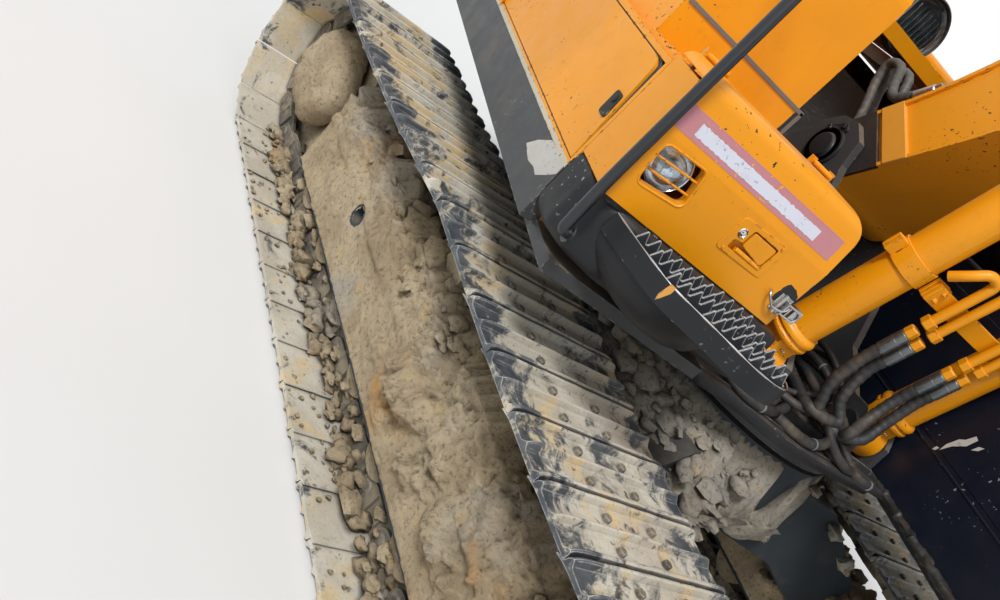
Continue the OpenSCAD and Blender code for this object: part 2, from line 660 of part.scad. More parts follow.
// Cab
cab_y1 = side_y;
door_rear = 330;
function cab_profile(g) = rounded([
  [cab_back + g, cab_z + g, 20], [cab_back + g, cab_top - g, 120 - g], [1010 - g, cab_top - g, 140 - g],
  [cab_front - g, 1750, 200], [cab_front - g, 1250, 60], [cab_front - 60 - g, cab_z + g, 20]
]);
door_hinge = [door_rear + 10, cab_y1 + 9, 0];
door_spots = [cab_z + 250, cab_top - 400];
module cab_shell() {
  color("midnightblue") house_place() {
    for (x = [cab_back + 150, cab_front - 200], y = [cab_y0 + 120, cab_y1 - 120]) translate([x, y,
      deck_top]) cylinder(r = 60, h = cab_z - deck_top + 1);
    for (z = door_spots) {
      for (v = [z - 14, z + 62]) block([door_hinge[0] - 32, cab_y1 - 1, v], [door_hinge[0] - 10,
        cab_y1 + 21, v + 12]);
      for (v = [z - 14, z + 62]) block([door_hinge[0] - 11, cab_y1 + 1, v], [door_hinge[0] + 12,
        cab_y1 + 21, v + 12]);
      hinge_pin(door_hinge, upright, z - 8, z + 68);
    }
  }
  color("midnightblue") house_place() difference() {
    slab(cab_profile(0), cab_y0, cab_y1);
    slab(cab_profile(cab_t), cab_y0 + cab_t, cab_y1 - cab_t);
    // Windscreen, right window, rear window and roof hatch
    beam(rounded([[cab_y0 + 70, 1330, 40], [cab_y0 + 70, 2740, 40], [cab_y1 - 70, 2740, 40],
      [cab_y1 - 70, 1330, 40]]), 1000, 1400);
    slab(rounded([[cab_back + 90, 1720, 40], [cab_back + 90, 2740, 60], [960, 2740, 60],
      [cab_front - 140, 1900, 40], [cab_front - 140, 1720, 40]]),
      cab_y0 - 1, cab_y0 + cab_t + 1);
    beam(rounded([[cab_y0 + 90, 1800, 40], [cab_y0 + 90, 2740, 40], [cab_y1 - 90, 2740, 40],
      [cab_y1 - 90, 1800, 40]]), cab_back - 1, cab_back + cab_t + 1);
    translate([0, 0, cab_top - cab_t - 1]) linear_extrude(cab_t + 2) polygon([[100, cab_y0 + 180],
      [700, cab_y0 + 180], [700, cab_y1 - 180], [100, cab_y1 - 180]]);
    // Left side: door opening and rear window
    slab(door_outline(-5), cab_y1 - cab_t - 1, cab_y1 + 1);
    slab(rounded([[cab_back + 90, 1800, 40], [cab_back + 90, 2740, 60], [door_rear - 70, 2740, 40],
      [door_rear - 70, 1800, 40]]), cab_y1 - cab_t - 1, cab_y1 + 1);
  }
}
function door_outline(g) = rounded([
  [door_rear + g, cab_z + 70 + g, 40], [door_rear + g, cab_top - 80 - g, 60], [960 - g,
    cab_top - 80 - g, 60],
  [cab_front - 80 - g, 1760, 150], [cab_front - 80 - g, cab_z + 70 + g, 60]
]);
module cab_door() {
  color("midnightblue") house_place() difference() {
    union() {
      slab(door_outline(0), cab_y1 - cab_t, cab_y1);
      sleeves(door_hinge, upright, door_spots, 60);
    }
    // Hollows for the hinge lugs to turn in
    for (z = door_spots, v = [z - 19, z + 60]) translate(door_hinge + [0, 0, v]) cylinder(r = 23, h = 19);
    slab(rounded([[door_rear + 60, 1700, 40], [door_rear + 60, cab_top - 150, 40], [930, cab_top - 150,
      40], [cab_front - 150, 1900, 40], [cab_front - 150, 1700, 40]]),
      cab_y1 - cab_t - 1, cab_y1 + 1);
    sleeve_bore(door_hinge, upright, cab_z, cab_top);
  }
}
glass_t = 6;
module cab_glass() {
  color("lightblue") house_place() {
    slab(rounded([[cab_back + 90 + seat, 1720 + seat, 40], [cab_back + 90 + seat, 2740 - seat, 60],
      [960 - seat, 2740 - seat, 60], [cab_front - 140 - seat, 1900, 40], [cab_front - 140 - seat,
      1720 + seat, 40]]),
      cab_y0 + 20, cab_y0 + 20 + glass_t);
    beam(rounded([[cab_y0 + 90 + seat, 1800 + seat, 40], [cab_y0 + 90 + seat, 2740 - seat, 40],
      [cab_y1 - 90 - seat, 2740 - seat, 40], [cab_y1 - 90 - seat, 1800 + seat, 40]]),
      cab_back + 20, cab_back + 20 + glass_t);
    slab(rounded([[cab_back + 90 + seat, 1800 + seat, 40], [cab_back + 90 + seat, 2740 - seat, 60],
      [door_rear - 70 - seat, 2740 - seat, 40], [door_rear - 70 - seat, 1800 + seat, 40]]),
      cab_y1 - 20 - glass_t, cab_y1 - 20);
    // Windscreen, bent over the cab's front
    intersection() {
      difference() {
        slab(cab_profile(20), cab_y0 + 1, cab_y1 - 1);
        slab(cab_profile(20 + glass_t), cab_y0, cab_y1);
      }
      beam(rounded([[cab_y0 + 70 + seat, 1330 + seat, 40], [cab_y0 + 70 + seat, 2740 - seat, 40],
        [cab_y1 - 70 - seat, 2740 - seat, 40], [cab_y1 - 70 - seat, 1330 + seat, 40]]), 1000, 1400);
    }
  }
}
module cab_door_glass() {
  color("lightblue") house_place()
    slab(rounded([[door_rear + 60 + seat, 1700 + seat, 40], [door_rear + 60 + seat,
      cab_top - 150 - seat, 40], [930 - seat, cab_top - 150 - seat, 40], [cab_front - 150 - seat, 1900,
      40], [cab_front - 150 - seat, 1700 + seat, 40]]),
      cab_y1 - 20 - glass_t, cab_y1 - 20);
}
module operator_seat() {
  mid = (cab_y0 + cab_y1) / 2;
  color("dimgray") house_place() {
    block([0, mid - 200, cab_z + cab_t], [420, mid + 200, 1450]);
    block([-60, mid - 250, 1450], [480, mid + 250, 1580]);
    slab(rounded([[-60, 1580, 0], [-180, 2250, 50], [-60, 2250, 50], [80, 1580, 0]]), mid - 240, mid + 240);
  }
}
module exhaust_pipe() {
  color("dimgray") house_place() translate([-1250, -800, hood_top - 70]) {
    cylinder(r = 45, h = 380);
    cylinder(r = 75, h = 20);
  }
}
// Boom in its own frame: X along its pin line from the foot pin
rod_pin = polar(rod_pin_r, rod_pin_a);
boom_k = boom_len / 5100;
arm_ram_pin = [2950 * boom_k, 1270];
// [share of the boom's length from 0 to 5100, z of the middle, half depth]
boom_stations = [
  [0, 0, 115], [500, 182, 140], [1300, 585, 235], [2050, 855, 300], [2600, 880, 300], [3300, 690, 262],
  [4300, 310, 200], [5000, 30, 125]
];
boom_sections = [for (s = boom_stations) [s[0] * boom_k, s[1], s[2]]];
function boom_edge(side, inset) = [
  for (s = boom_sections) let (
    i = search(s[0], boom_sections)[0],
    a = boom_sections[max(0, i - 1)], b = boom_sections[min(len(boom_sections) - 1, i + 1)],
    t = [b[0] - a[0], b[1] - a[1]], n = [-t[1], t[0]] / norm(t)
  ) [s[0], s[1]] + side * (s[2] - inset) * n
];
function boom_outline(inset) = concat(boom_edge(1, inset),
  [for (i = [len(boom_sections) - 1:-1:0]) boom_edge(-1, inset)[i]]);
boom_half = boom_w / 2;
fork_in = arm_w / 2 + run;
boom_plate = 14;
module boom() {
  color("orange") house_place() hang(foot_pin, boom_angle) {
    difference() {
      union() {
        slab(boom_outline(0), -boom_half, boom_half);
        cross_pin([0, 0], 120, -boom_half, boom_half);
        cross_pin([boom_len, 0], 132, -boom_half, boom_half);
        cross_pin(rod_pin, 75, -ram_y + ram_eye_w / 2 + run, ram_y - ram_eye_w / 2 - run);
        // Ears of the arm cylinder
        both_sides() slab([
          for (p = [[-230, -170], [-80, 40], [0, 80], [80, 40], [200, -270], [-230, -270]]) arm_ram_pin + p
        ], 82, 112);
        // Clamps of the oil pipes
        for (i = [1, 2, 3], k = [0.15, 0.6]) let (
          low = boom_edge(1, 4), a = low[i] * (1 - k) + low[i + 1] * k,
            t = (low[i + 1] - low[i]) / norm(low[i + 1] - low[i]), n = [-t[1], t[0]]
        ) if (i < 3 || k < 0.3) both_sides() slab([a - 25 * t, a + 25 * t, a + 25 * t + 42 * n,
          a - 25 * t + 42 * n], 95, 190);
      }
      cross_pin([0, 0], 45 + fit, -boom_half - 1, boom_half + 1);
      // Fork for the arm
      translate([boom_len - 500, -fork_in, -400]) cube([700, 2 * fork_in, 900]);
      // Box inside its plates
      slab([for (i = [1:5]) boom_edge(1, boom_plate)[i], for (i = [5:-1:1]) boom_edge(-1,
        boom_plate)[i]], boom_plate - boom_half, boom_half - boom_plate);
    }
    cross_pin([boom_len, 0], 45, -boom_half - 10, boom_half + 10);
    cross_pin(arm_ram_pin, 40, -118, 118);
    // Oil pipes along the back of the boom
    both_sides() for (y = [120, 165]) pipe([for (i = [1:4]) let (e = boom_edge(1, -26)[i]) [e[0], y,
      e[1]]], 14, 4);
  }
}

// A cylinder lies along +X from its base pin; the eye at the rod's end is at length reach
module barrel(od, rod, len, eye_w, pin_r) {
  difference() {
    union() {
      rotate([0, 90, 0]) translate([0, 0, 105]) cylinder(r = od / 2, h = len - 105);
      rotate([0, 90, 0]) translate([0, 0, len - 90]) cylinder(r = od / 2 + 12, h = 90);
      cross_pin([0, 0], pin_r + 35, -eye_w / 2, eye_w / 2);
      block([0, -eye_w / 2 + 5, -50], [106, eye_w / 2 - 5, 50]);
    }
    cross_pin([0, 0], pin_r + fit, -eye_w, eye_w);
    rotate([0, 90, 0]) translate([0, 0, 115]) cylinder(r = rod / 2 + fit, h = len);
  }
}
module rod_piece(rod, inner, reach, eye_w, pin_r) {
  rotate([0, 90, 0]) translate([0, 0, inner]) cylinder(r = rod / 2, h = reach - inner - pin_r);
  cross_pin([reach, 0], pin_r + 35, -eye_w / 2, eye_w / 2);
}
ram_far = foot_pin + turned(rod_pin, boom_angle);
ram_len = norm(ram_far - ram_pin);
ram_angle = direction(ram_far - ram_pin);
module boom_barrels() {
  color("orange") house_place() hang(ram_pin, ram_angle) both_sides() translate([0, ram_y,
    0]) barrel(ram_od, ram_rod, 1440, ram_eye_w, 40);
}
module boom_rods() {
  color("silver") house_place() hang(ram_pin, ram_angle) both_sides() translate([0, ram_y, 0]) {
    rod_piece(ram_rod, ram_len - 1400, ram_len, ram_eye_w, 40);
    cross_pin([ram_len, 0], 42, -ram_eye_w / 2 - run + seat, ram_eye_w / 2 + 8);
  }
}

module arm() {
  color("orange") house_place() hang(boom_tip, arm_angle) {
    difference() {
      union() {
        slab(arm_outline, -arm_w / 2, arm_w / 2);
        both_sides() slab([[140, 290], [250, 530], [300, 560], [350, 530], [460, 280]], 72, 102);
        cross_pin([arm_len, 0], 76, -arm_w / 2 - 40, arm_w / 2 + 40);
      }
      cross_pin([0, 0], 45 + fit, -200, 200);
      // Box inside its plates
      slab([[150, 270], [290, 285], [arm_len - 200, 80], [arm_len - 200, -110], [400, -245], [150, -205]],
        12 - arm_w / 2, arm_w / 2 - 12);
      // Slot for the arm cylinder's eye
      slab([[-900, -100], [-900, 600], [-390, 600], [-390, -100]], -55, 55);
    }
    both_sides() cross_pin(turned_eye, 60, arm_w / 2 - 1, arm_w / 2 + 8);
    cross_pin([arm_len, 0], 40, -ear_y - 45, ear_y + 45);
    cross_pin(lever_pin, 35, -arm_w / 2 - run - 40, arm_w / 2 + run + 40);
    cross_pin(bucket_ram_pin, 38, -108, 108);
  }
}
turned_eye = polar(760, 150);
lever_pin = [arm_len - 340, 20];
ear_y = arm_w / 2 + run + 35 + 6;
bucket_ram_pin = [300, 480];
arm_far = boom_tip + turned(turned_eye, arm_angle);
arm_ram_base = foot_pin + turned(arm_ram_pin, boom_angle);
arm_ram_len = norm(arm_far - arm_ram_base);
arm_ram_angle = direction(arm_far - arm_ram_base);
module arm_barrel() {
  color("orange") house_place() hang(arm_ram_base, arm_ram_angle) barrel(150, 90, 1660, 150, 40);
}
module arm_rod() {
  color("silver") house_place() hang(arm_ram_base, arm_ram_angle) {
    rod_piece(90, arm_ram_len - 1610, arm_ram_len, 100, 40);
    cross_pin([arm_ram_len, 0], 44, -54, 54);
  }
}

// Bucket linkage in the arm's frame
tooth_a = bucket_angle;
link_pin = [arm_len, 0] + polar(380, tooth_a + 104);
lever_end = meeting(lever_pin, 600, link_pin, 560, 1);
function in_world(p) = boom_tip + turned(p, arm_angle);
bucket_ram_len = norm(lever_end - bucket_ram_pin);
bucket_ram_angle = direction(lever_end - bucket_ram_pin) + arm_angle;
module bucket_barrel() {
  color("orange") house_place() hang(in_world(bucket_ram_pin), bucket_ram_angle) barrel(130, 75, 1360,
    130, 38);
}
module bucket_rod() {
  color("silver") house_place() hang(in_world(bucket_ram_pin), bucket_ram_angle) {
    rod_piece(75, bucket_ram_len - 1330, bucket_ram_len, 100, 38);
    cross_pin([bucket_ram_len, 0], 42, -link_in + seat, link_in - seat);
  }
}
module bar(a, b, r, y0, y1, waist = 0) {
  u = (b - a) / norm(b - a);
  n = [-u[1], u[0]] * (waist > 0 ? waist : r);
  slab([a + n, b + n, b - n, a - n], y0, y1);
  cross_pin(a, r, y0, y1);
  cross_pin(b, r, y0, y1);
}
link_in = 60;
link_out = 100;
module tipping_lever() {
  color("dimgray") house_place() hang(boom_tip, arm_angle) both_sides() {
    difference() {
      bar(lever_pin, lever_end, 65, arm_w / 2 + run, arm_w / 2 + run + 35, 50);
      cross_pin(lever_pin, 35 + fit, 0, 300);
    }
    cross_pin(lever_end, 45, link_out + seat, arm_w / 2 + run + 1);
  }
}
module bucket_link() {
  color("dimgray") house_place() hang(boom_tip, arm_angle) difference() {
    union() {
      both_sides() bar(lever_end, link_pin, 60, link_in, link_out);
      cross_pin(link_pin, 70, -ear_y + run, ear_y - run);
    }
    cross_pin(link_pin, 38 + fit, -300, 300);
  }
}
// Bucket in its own frame: X from the bucket pin to the teeth
shell_t = 22;
bucket_half = bucket_w / 2;
tip = bucket_r - 1330;
shell_out = [[225, 70], [170, 190], [240, 370], [430, 560], [700, 635], [1000, 565], [1195, 360],
  [1290 + tip, 30], [1200 + tip, -15]];
shell_in = [[225, -60], [247, 78], [194, 195], [258, 358], [440, 541], [700, 612], [990, 546], [1175,
  350], [1266 + tip, 28], [1266 + tip, -60]];
link_eye = polar(380, 104);
module bucket() {
  color("dimgray") house_place() hang(in_world([arm_len, 0]), arm_angle + tooth_a) {
    difference() {
      slab(shell_out, -bucket_half, bucket_half);
      slab(shell_in, shell_t - bucket_half, bucket_half - shell_t);
    }
    // Ears on the back
    both_sides() difference() {
      slab([[-75, -60], [60, -75], [200, 120], [250, 380], [-60, 445], [-165, 400], [-160, 330]],
        ear_y, ear_y + 35);
      cross_pin([0, 0], 40 + fit, 0, 400);
    }
    cross_pin(link_eye, 38, -ear_y - 43, ear_y + 43);
    for (i = [0:4]) let (y = 60 - bucket_half + i * (bucket_w - 220) / 4)
      slab([[1190 + tip, -18], [1330 + tip, 0], [1285 + tip, 45], [1190 + tip, 45]], y, y + 100);
  }
}

center_frame();
track_frame_right();
track_frame_left();
track_right();
track_left();
final_drive_right();
final_drive_left();
idler_right();
idler_left();
rollers_right();
rollers_left();
swing_ring();
revolving_frame();
counterweight();
engine_block();
engine_hood();
rear_side_panels();
pump_door_right();
radiator_door_left();
fuel_tank();
hydraulic_tank();
tank_side_box();
side_door_right();
toolbox();
toolbox_cover();
front_step();
handrails();
work_lamp();
cab_shell();
cab_glass();
cab_door();
cab_door_glass();
operator_seat();
exhaust_pipe();
boom();
boom_barrels();
boom_rods();
arm();
arm_barrel();
arm_rod();
bucket_barrel();
bucket_rod();
tipping_lever();
bucket_link();
bucket();
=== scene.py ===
import math
import random

import bmesh
import bpy
from mathutils import Matrix, Vector, noise


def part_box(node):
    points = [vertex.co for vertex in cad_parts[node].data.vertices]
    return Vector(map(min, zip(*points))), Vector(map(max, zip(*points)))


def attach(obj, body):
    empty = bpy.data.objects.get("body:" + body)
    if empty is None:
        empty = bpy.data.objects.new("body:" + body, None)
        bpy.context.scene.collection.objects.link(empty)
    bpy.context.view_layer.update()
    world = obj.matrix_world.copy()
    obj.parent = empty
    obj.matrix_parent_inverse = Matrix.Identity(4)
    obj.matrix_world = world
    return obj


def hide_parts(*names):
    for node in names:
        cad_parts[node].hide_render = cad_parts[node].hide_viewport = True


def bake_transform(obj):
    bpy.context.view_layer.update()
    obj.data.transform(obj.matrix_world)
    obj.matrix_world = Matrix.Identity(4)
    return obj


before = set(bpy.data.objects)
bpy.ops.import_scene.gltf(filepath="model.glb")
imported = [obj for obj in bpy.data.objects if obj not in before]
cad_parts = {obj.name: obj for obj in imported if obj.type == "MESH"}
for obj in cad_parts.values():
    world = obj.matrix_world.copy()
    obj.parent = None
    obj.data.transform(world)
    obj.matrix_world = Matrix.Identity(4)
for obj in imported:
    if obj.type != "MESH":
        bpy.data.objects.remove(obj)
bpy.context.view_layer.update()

# Places: millimetres in the upper structure, in the tracks and in the boom, to metres in the shared frame
MM = 0.001
PER_M = 1000
TAIL_REACH = 2.55
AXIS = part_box("counterweight")[0].x + TAIL_REACH
TURN = math.radians(13)
TRACK_Y = 1000
BOOM_TILT = math.radians(34)
FOOT = (-145, 1638)
UPPER, LOWER = "upper_structure", "undercarriage"
LABEL = {-1: "right", 1: "left"}


def upper(x, y, z):
    return Vector((AXIS + x * MM, y * MM, z * MM))


def under(x, y, z):
    c, s = math.cos(TURN), math.sin(TURN)
    return Vector((AXIS + (x * c - y * s) * MM, (x * s + y * c) * MM, z * MM))


def hung(pin, angle):
    c, s = math.cos(angle), math.sin(angle)
    return lambda x, y, z: upper(pin[0] + x * c - z * s, y, pin[1] + x * s + z * c)


in_boom = hung(FOOT, BOOM_TILT)


def back(point):
    """Millimetres in the upper structure of a point in the shared frame."""
    return tuple((point - upper(0, 0, 0)) * PER_M)


def around(count):
    """Angles of a full turn in even steps."""
    return [2 * math.pi * i / count for i in range(count)]


def link(obj):
    bpy.context.scene.collection.objects.link(obj)
    return obj


def fbm(p, scale, octaves=4, shift=0.0):
    return noise.fractal(Vector(p) * scale + Vector((shift, shift * 1.7, -shift)), 1.0, 2.0, octaves)


# Camera, solved from the photograph: its place, and its right and rear directions
CAMERA_AT = (2458, -2230, 1652)
CAMERA_RIGHT = (0.131, 0.7283, 0.6726)
CAMERA_REAR = (0.8028, -0.476, 0.359)
SENSOR, LENS, FAR = 36, 32.229, 200


def make_camera():
    data = bpy.data.cameras.new("camera")
    data.sensor_width = SENSOR
    data.lens = LENS
    data.clip_end = FAR
    cam = link(bpy.data.objects.new("camera", data))
    rear = Vector(CAMERA_REAR).normalized()
    up = rear.cross(Vector(CAMERA_RIGHT).normalized()).normalized()
    right = up.cross(rear).normalized()
    turn = Matrix((right, up, rear)).transposed().to_4x4()
    cam.matrix_world = Matrix.Translation(upper(*CAMERA_AT)) @ turn
    bpy.context.scene.camera = cam


make_camera()


# Materials
class Look:
    """A material's node tree, with short calls for the nodes used here."""

    def __init__(self, name, **sockets):
        self.mat = bpy.data.materials.new(name)
        self.mat.use_nodes = True
        self.tree = self.mat.node_tree
        self.out = self.tree.nodes["Principled BSDF"]
        self.place = self.add("ShaderNodeTexCoord").outputs["Object"]
        self.set(**sockets)

    def add(self, kind, props=None, inputs=None):
        node = self.tree.nodes.new(kind)
        for key, value in (props or {}).items():
            setattr(node, key, value)
        for key, value in (inputs or {}).items():
            self.feed(node.inputs[key], value)
        return node

    def feed(self, socket, value):
        if isinstance(value, bpy.types.NodeSocket):
            self.tree.links.new(value, socket)
        elif isinstance(value, (tuple, list)) and len(value) == 3 and socket.type == "RGBA":
            socket.default_value = (*value, 1)
        else:
            socket.default_value = value

    def set(self, **sockets):
        for key, value in sockets.items():
            self.feed(self.out.inputs[key.replace("_", " ")], value)

    def noise(self, scale, detail=3, rough=0.55, stretch=None, distort=0.0):
        vector = self.place
        if stretch:
            vector = self.add("ShaderNodeMapping", None, {"Vector": vector, "Scale": stretch}).outputs[0]
        return self.add("ShaderNodeTexNoise", None, {
            "Vector": vector, "Scale": scale, "Detail": detail, "Roughness": rough, "Distortion": distort,
        }).outputs[0]

    def span(self, value, low, high, to_low=0.0, to_high=1.0):
        return self.add("ShaderNodeMapRange", {"interpolation_type": "SMOOTHSTEP"}, {
            "Value": value, "From Min": low, "From Max": high, "To Min": to_low,
            "To Max": to_high}).outputs[0]

    def math(self, kind, a, b=0.0):
        return self.add("ShaderNodeMath", {"operation": kind}, {0: a, 1: b}).outputs[0]

    def mix(self, share, a, b):
        return self.add("ShaderNodeMix", {"data_type": "RGBA"}, {0: share, 6: a, 7: b}).outputs[2]

    def blend(self, share, a, b):
        return self.add("ShaderNodeMix", None, {0: share, 2: a, 3: b}).outputs[0]

    def bump(self, height, depth, strength=1.0):
        self.set(Normal=self.add("ShaderNodeBump", None, {
            "Height": height, "Distance": depth, "Strength": strength}).outputs[0])

    def height(self, vector):
        return self.add("ShaderNodeSeparateXYZ", None, {0: vector}).outputs[2]

    def dot(self, a, b):
        return self.add("ShaderNodeVectorMath", {"operation": "DOT_PRODUCT"}, {0: a, 1: b}).outputs["Value"]

    def facing_up(self, low=0.2, high=0.95):
        return self.span(self.height(self.add("ShaderNodeNewGeometry").outputs["Normal"]), low, high)

    def shade_in_hollows(self, reach, low=0.35, high=0.9):
        """Mask of painted shade: 1 in corners and gaps narrower than the reach."""
        open_sky = self.add("ShaderNodeAmbientOcclusion", {"samples": 4}, {"Distance": reach}).outputs["AO"]
        return self.span(open_sky, low, high, 1.0, 0.0)

    def edges(self, radius=0.005, low=0.004, high=0.05):
        """1 along outer edges, from the rounded normal against the real one."""
        soft = self.add("ShaderNodeBevel", {"samples": 4}, {"Radius": radius}).outputs[0]
        hard = self.add("ShaderNodeNewGeometry").outputs["Normal"]
        return self.span(self.math("SUBTRACT", 1.0, self.dot(soft, hard)), low, high)

    def grain(self, scale, detail=7):
        """Coarse and fine relief of rough steel."""
        fine = self.math("MULTIPLY", self.noise(420, 3), 0.3)
        return self.math("ADD", self.noise(scale, detail, 0.75), fine)


DUST = (0.31, 0.225, 0.13)
PRIMER = (0.02, 0.02, 0.022)


def paint(name, color, rough=0.38, chips=0.5, dust=0.3, edge=0.6, under=PRIMER, fade=0.12, coat=0.15):
    """Enamel with a slow fade, chips in clusters and along edges, and dust where it can lie."""
    k = Look(name, Coat_Weight=coat, Coat_Roughness=0.25, Specular_IOR_Level=0.28)
    pale = tuple(min(1.0, c * (1 - fade) + 0.75 * fade) for c in color)
    deep = tuple(c * 0.86 for c in color)
    base = k.mix(k.span(k.noise(1.7, 4), 0.35, 0.7), deep, color)
    base = k.mix(k.math("MULTIPLY", k.facing_up(0.0, 1.0), k.span(k.noise(3.1, 5), 0.3, 0.75)), base, pale)
    # A soft mottling of grime
    base = k.mix(k.span(k.noise(23, 6, 0.7), 0.5, 0.85, 0.0, 0.22), base, tuple(c * 0.45 for c in color))
    cluster = k.span(k.noise(2.6, 2), 0.5, 0.66)
    spots = k.span(k.noise(70, 2, 0.5), 0.685 - 0.03 * chips, 0.70 - 0.03 * chips)
    spots = k.math("MULTIPLY", spots, cluster)
    rubbed = k.math("MULTIPLY", k.edges(), k.span(k.noise(34, 5, 0.7), 0.66 - 0.16 * edge,
                                                  0.70 - 0.16 * edge))
    chipped = k.math("MAXIMUM", spots, rubbed)
    base = k.mix(chipped, base, under)
    lying = k.math("MULTIPLY", k.facing_up(), k.span(k.noise(9, 6, 0.65), 0.36, 0.75, 0.25, 1.0))
    film = k.span(k.noise(5, 7, 0.72), 0.5, 0.8, 0.0, 0.4)
    dirt = k.math("MULTIPLY", k.math("MAXIMUM", lying, film), dust)
    gloss = k.blend(chipped, k.span(k.noise(12, 4), 0.3, 0.7, rough, rough + 0.14), 0.7)
    k.set(Base_Color=k.mix(dirt, base, DUST), Roughness=k.blend(dirt, gloss, 0.95))
    relief = k.math("SUBTRACT", k.math("MULTIPLY", k.noise(260, 2), 0.12), chipped)
    k.bump(relief, 0.0007, 0.6)
    return k.mat


def clay(name, pale=(0.60, 0.485, 0.325), mid=(0.44, 0.34, 0.215), dark=(0.16, 0.12, 0.078), rust=0.6):
    """Dried clay: crumbs of several sizes, grey and yellow beds and a rusty run, with painted shade in the
    pits between crumbs and in hollows.
    """
    k = Look(name, Roughness=0.95, Specular_IOR_Level=0.2)
    base = k.mix(k.span(k.noise(4.5, 5, 0.6), 0.35, 0.65), mid, pale)
    base = k.mix(k.span(k.noise(2.3, 4), 0.5, 0.66, 0.0, 0.75), base, (0.44, 0.41, 0.36))
    base = k.mix(k.span(k.noise(9, 5, 0.7), 0.54, 0.68, 0.0, 0.6), base, (0.60, 0.43, 0.20))
    crumbs = k.noise(62, 8, 0.78, None, 0.4)
    # Painted shade: darker where the crumbs' relief is low, in the pits between them
    base = k.mix(k.span(crumbs, 0.5, 0.36, 0.0, 0.75), base, dark)
    run = k.noise(1.5, 4, 0.6, (1.0, 2.6, 1.6))
    base = k.mix(k.span(run, 0.58, 0.7, 0.0, rust), base, (0.62, 0.31, 0.075))
    # Painted shade: darkened further in corners and gaps
    k.set(Base_Color=k.mix(k.math("MULTIPLY", k.shade_in_hollows(0.05), 0.75), base, tuple(c * 0.45 for c in dark)))
    k.bump(k.math("ADD", k.math("MULTIPLY", k.noise(210, 6, 0.7), 0.35), crumbs), 0.014, 1.0)
    return k.mat


def shoe_plates(name, across, middle):
    """Shoes rubbed by clay: sand film over blue-black steel that shows at the ends and in smears, and painted
    shade in the gaps.
    """
    k = Look(name)
    steel = k.mix(k.span(k.noise(13, 6, 0.7), 0.35, 0.7), (0.035, 0.042, 0.052), (0.10, 0.108, 0.115))
    sand = k.mix(k.span(k.noise(5.2, 5, 0.65), 0.42, 0.62), (0.47, 0.42, 0.335), (0.57, 0.53, 0.44))
    sand = k.mix(k.span(k.noise(3.4, 5, 0.7, None, 0.8), 0.50, 0.64, 0.0, 0.85), sand, (0.62, 0.46, 0.24))
    sand = k.mix(k.span(k.noise(85, 5, 0.75), 0.52, 0.7, 0.0, 0.45), sand, (0.17, 0.145, 0.11))
    out = k.math("ABSOLUTE", k.math("SUBTRACT", k.dot(k.place, across), middle))
    ends = k.span(out, 0.12, 0.29, 0.0, 0.14)
    lower = k.span(k.height(k.place), 0.32, 0.62, -0.14, 0.0)
    smear = k.span(k.math("ADD", k.math("ADD", k.noise(8.2, 8, 0.74, None, 0.5), ends), lower), 0.53, 0.64)
    base = k.mix(smear, sand, steel)
    base = k.mix(k.span(k.noise(31, 3, 0.5), 0.66, 0.71, 0.0, 0.85), base, (0.06, 0.055, 0.05))
    # Painted shade: near-black in the gaps between the shoes and beside the grousers
    base = k.mix(k.math("MULTIPLY", k.shade_in_hollows(0.022), 0.9), base, (0.026, 0.026, 0.028))
    bare = k.math("MULTIPLY", k.edges(0.005, 0.012, 0.09), k.span(k.noise(17, 5, 0.7), 0.36, 0.6, 0.0, 0.85))
    k.set(Base_Color=k.mix(bare, base, (0.60, 0.585, 0.55)), Metallic=k.math("MULTIPLY", bare, 0.5))
    k.set(Roughness=k.blend(bare, k.blend(smear, 0.92, 0.55), 0.42))
    k.bump(k.grain(95), 0.0024, 0.7)
    return k.mat


def track_steel(name, dirt=0.75, edge=0.8):
    k = Look(name)
    steel = k.mix(k.span(k.noise(14, 6, 0.7), 0.35, 0.7), (0.045, 0.040, 0.036), (0.115, 0.105, 0.09))
    steel = k.mix(k.span(k.noise(60, 5, 0.75), 0.55, 0.8, 0.0, 0.6), steel, (0.16, 0.085, 0.04))
    mud = k.math("MULTIPLY", k.span(k.noise(6.5, 7, 0.75), 0.40, 0.62, 0.1, 1.0), dirt)
    steel = k.mix(mud, steel, k.mix(k.noise(24, 5), (0.34, 0.285, 0.20), (0.235, 0.195, 0.135)))
    bare = k.math("MULTIPLY", k.edges(0.006, 0.01, 0.1), k.span(k.noise(19, 5, 0.7), 0.34, 0.52, 0.0, edge))
    k.set(Base_Color=k.mix(bare, steel, (0.56, 0.54, 0.50)), Metallic=k.math("MULTIPLY", bare, 0.85))
    k.set(Roughness=k.blend(bare, k.blend(mud, 0.62, 0.95), 0.34))
    k.bump(k.grain(90), 0.0022, 0.7)
    return k.mat


def rubber(name, color=(0.016, 0.016, 0.018), rough=0.55, dust=0.25, ribs=0.0):
    k = Look(name)
    base = k.mix(k.span(k.noise(11, 6, 0.7), 0.4, 0.8, 0.0, dust), color, DUST)
    base = k.mix(k.span(k.noise(50, 4), 0.55, 0.75, 0.0, 0.4), base, tuple(c * 3.5 for c in color))
    k.set(Base_Color=base, Roughness=k.span(k.noise(8, 4), 0.3, 0.7, rough - 0.1, rough + 0.2))
    k.bump(k.noise(300 if ribs == 0 else 120, 4, 0.6), 0.0006 + ribs, 0.6)
    return k.mat


def metal(name, color, rough, dirt=0.2):
    k = Look(name)
    grime = k.span(k.noise(18, 6, 0.7), 0.55, 0.75, 0.0, dirt)
    k.set(Base_Color=k.mix(grime, color, (0.09, 0.07, 0.05)), Metallic=k.blend(grime, 1.0, 0.1))
    drawn = k.span(k.noise(40, 3, 0.5, (1, 1, 8)), 0.3, 0.7, rough * 0.8, rough * 1.3)
    k.set(Roughness=k.blend(grime, drawn, 0.85))
    k.bump(k.noise(220, 3), 0.0002, 0.5)
    return k.mat


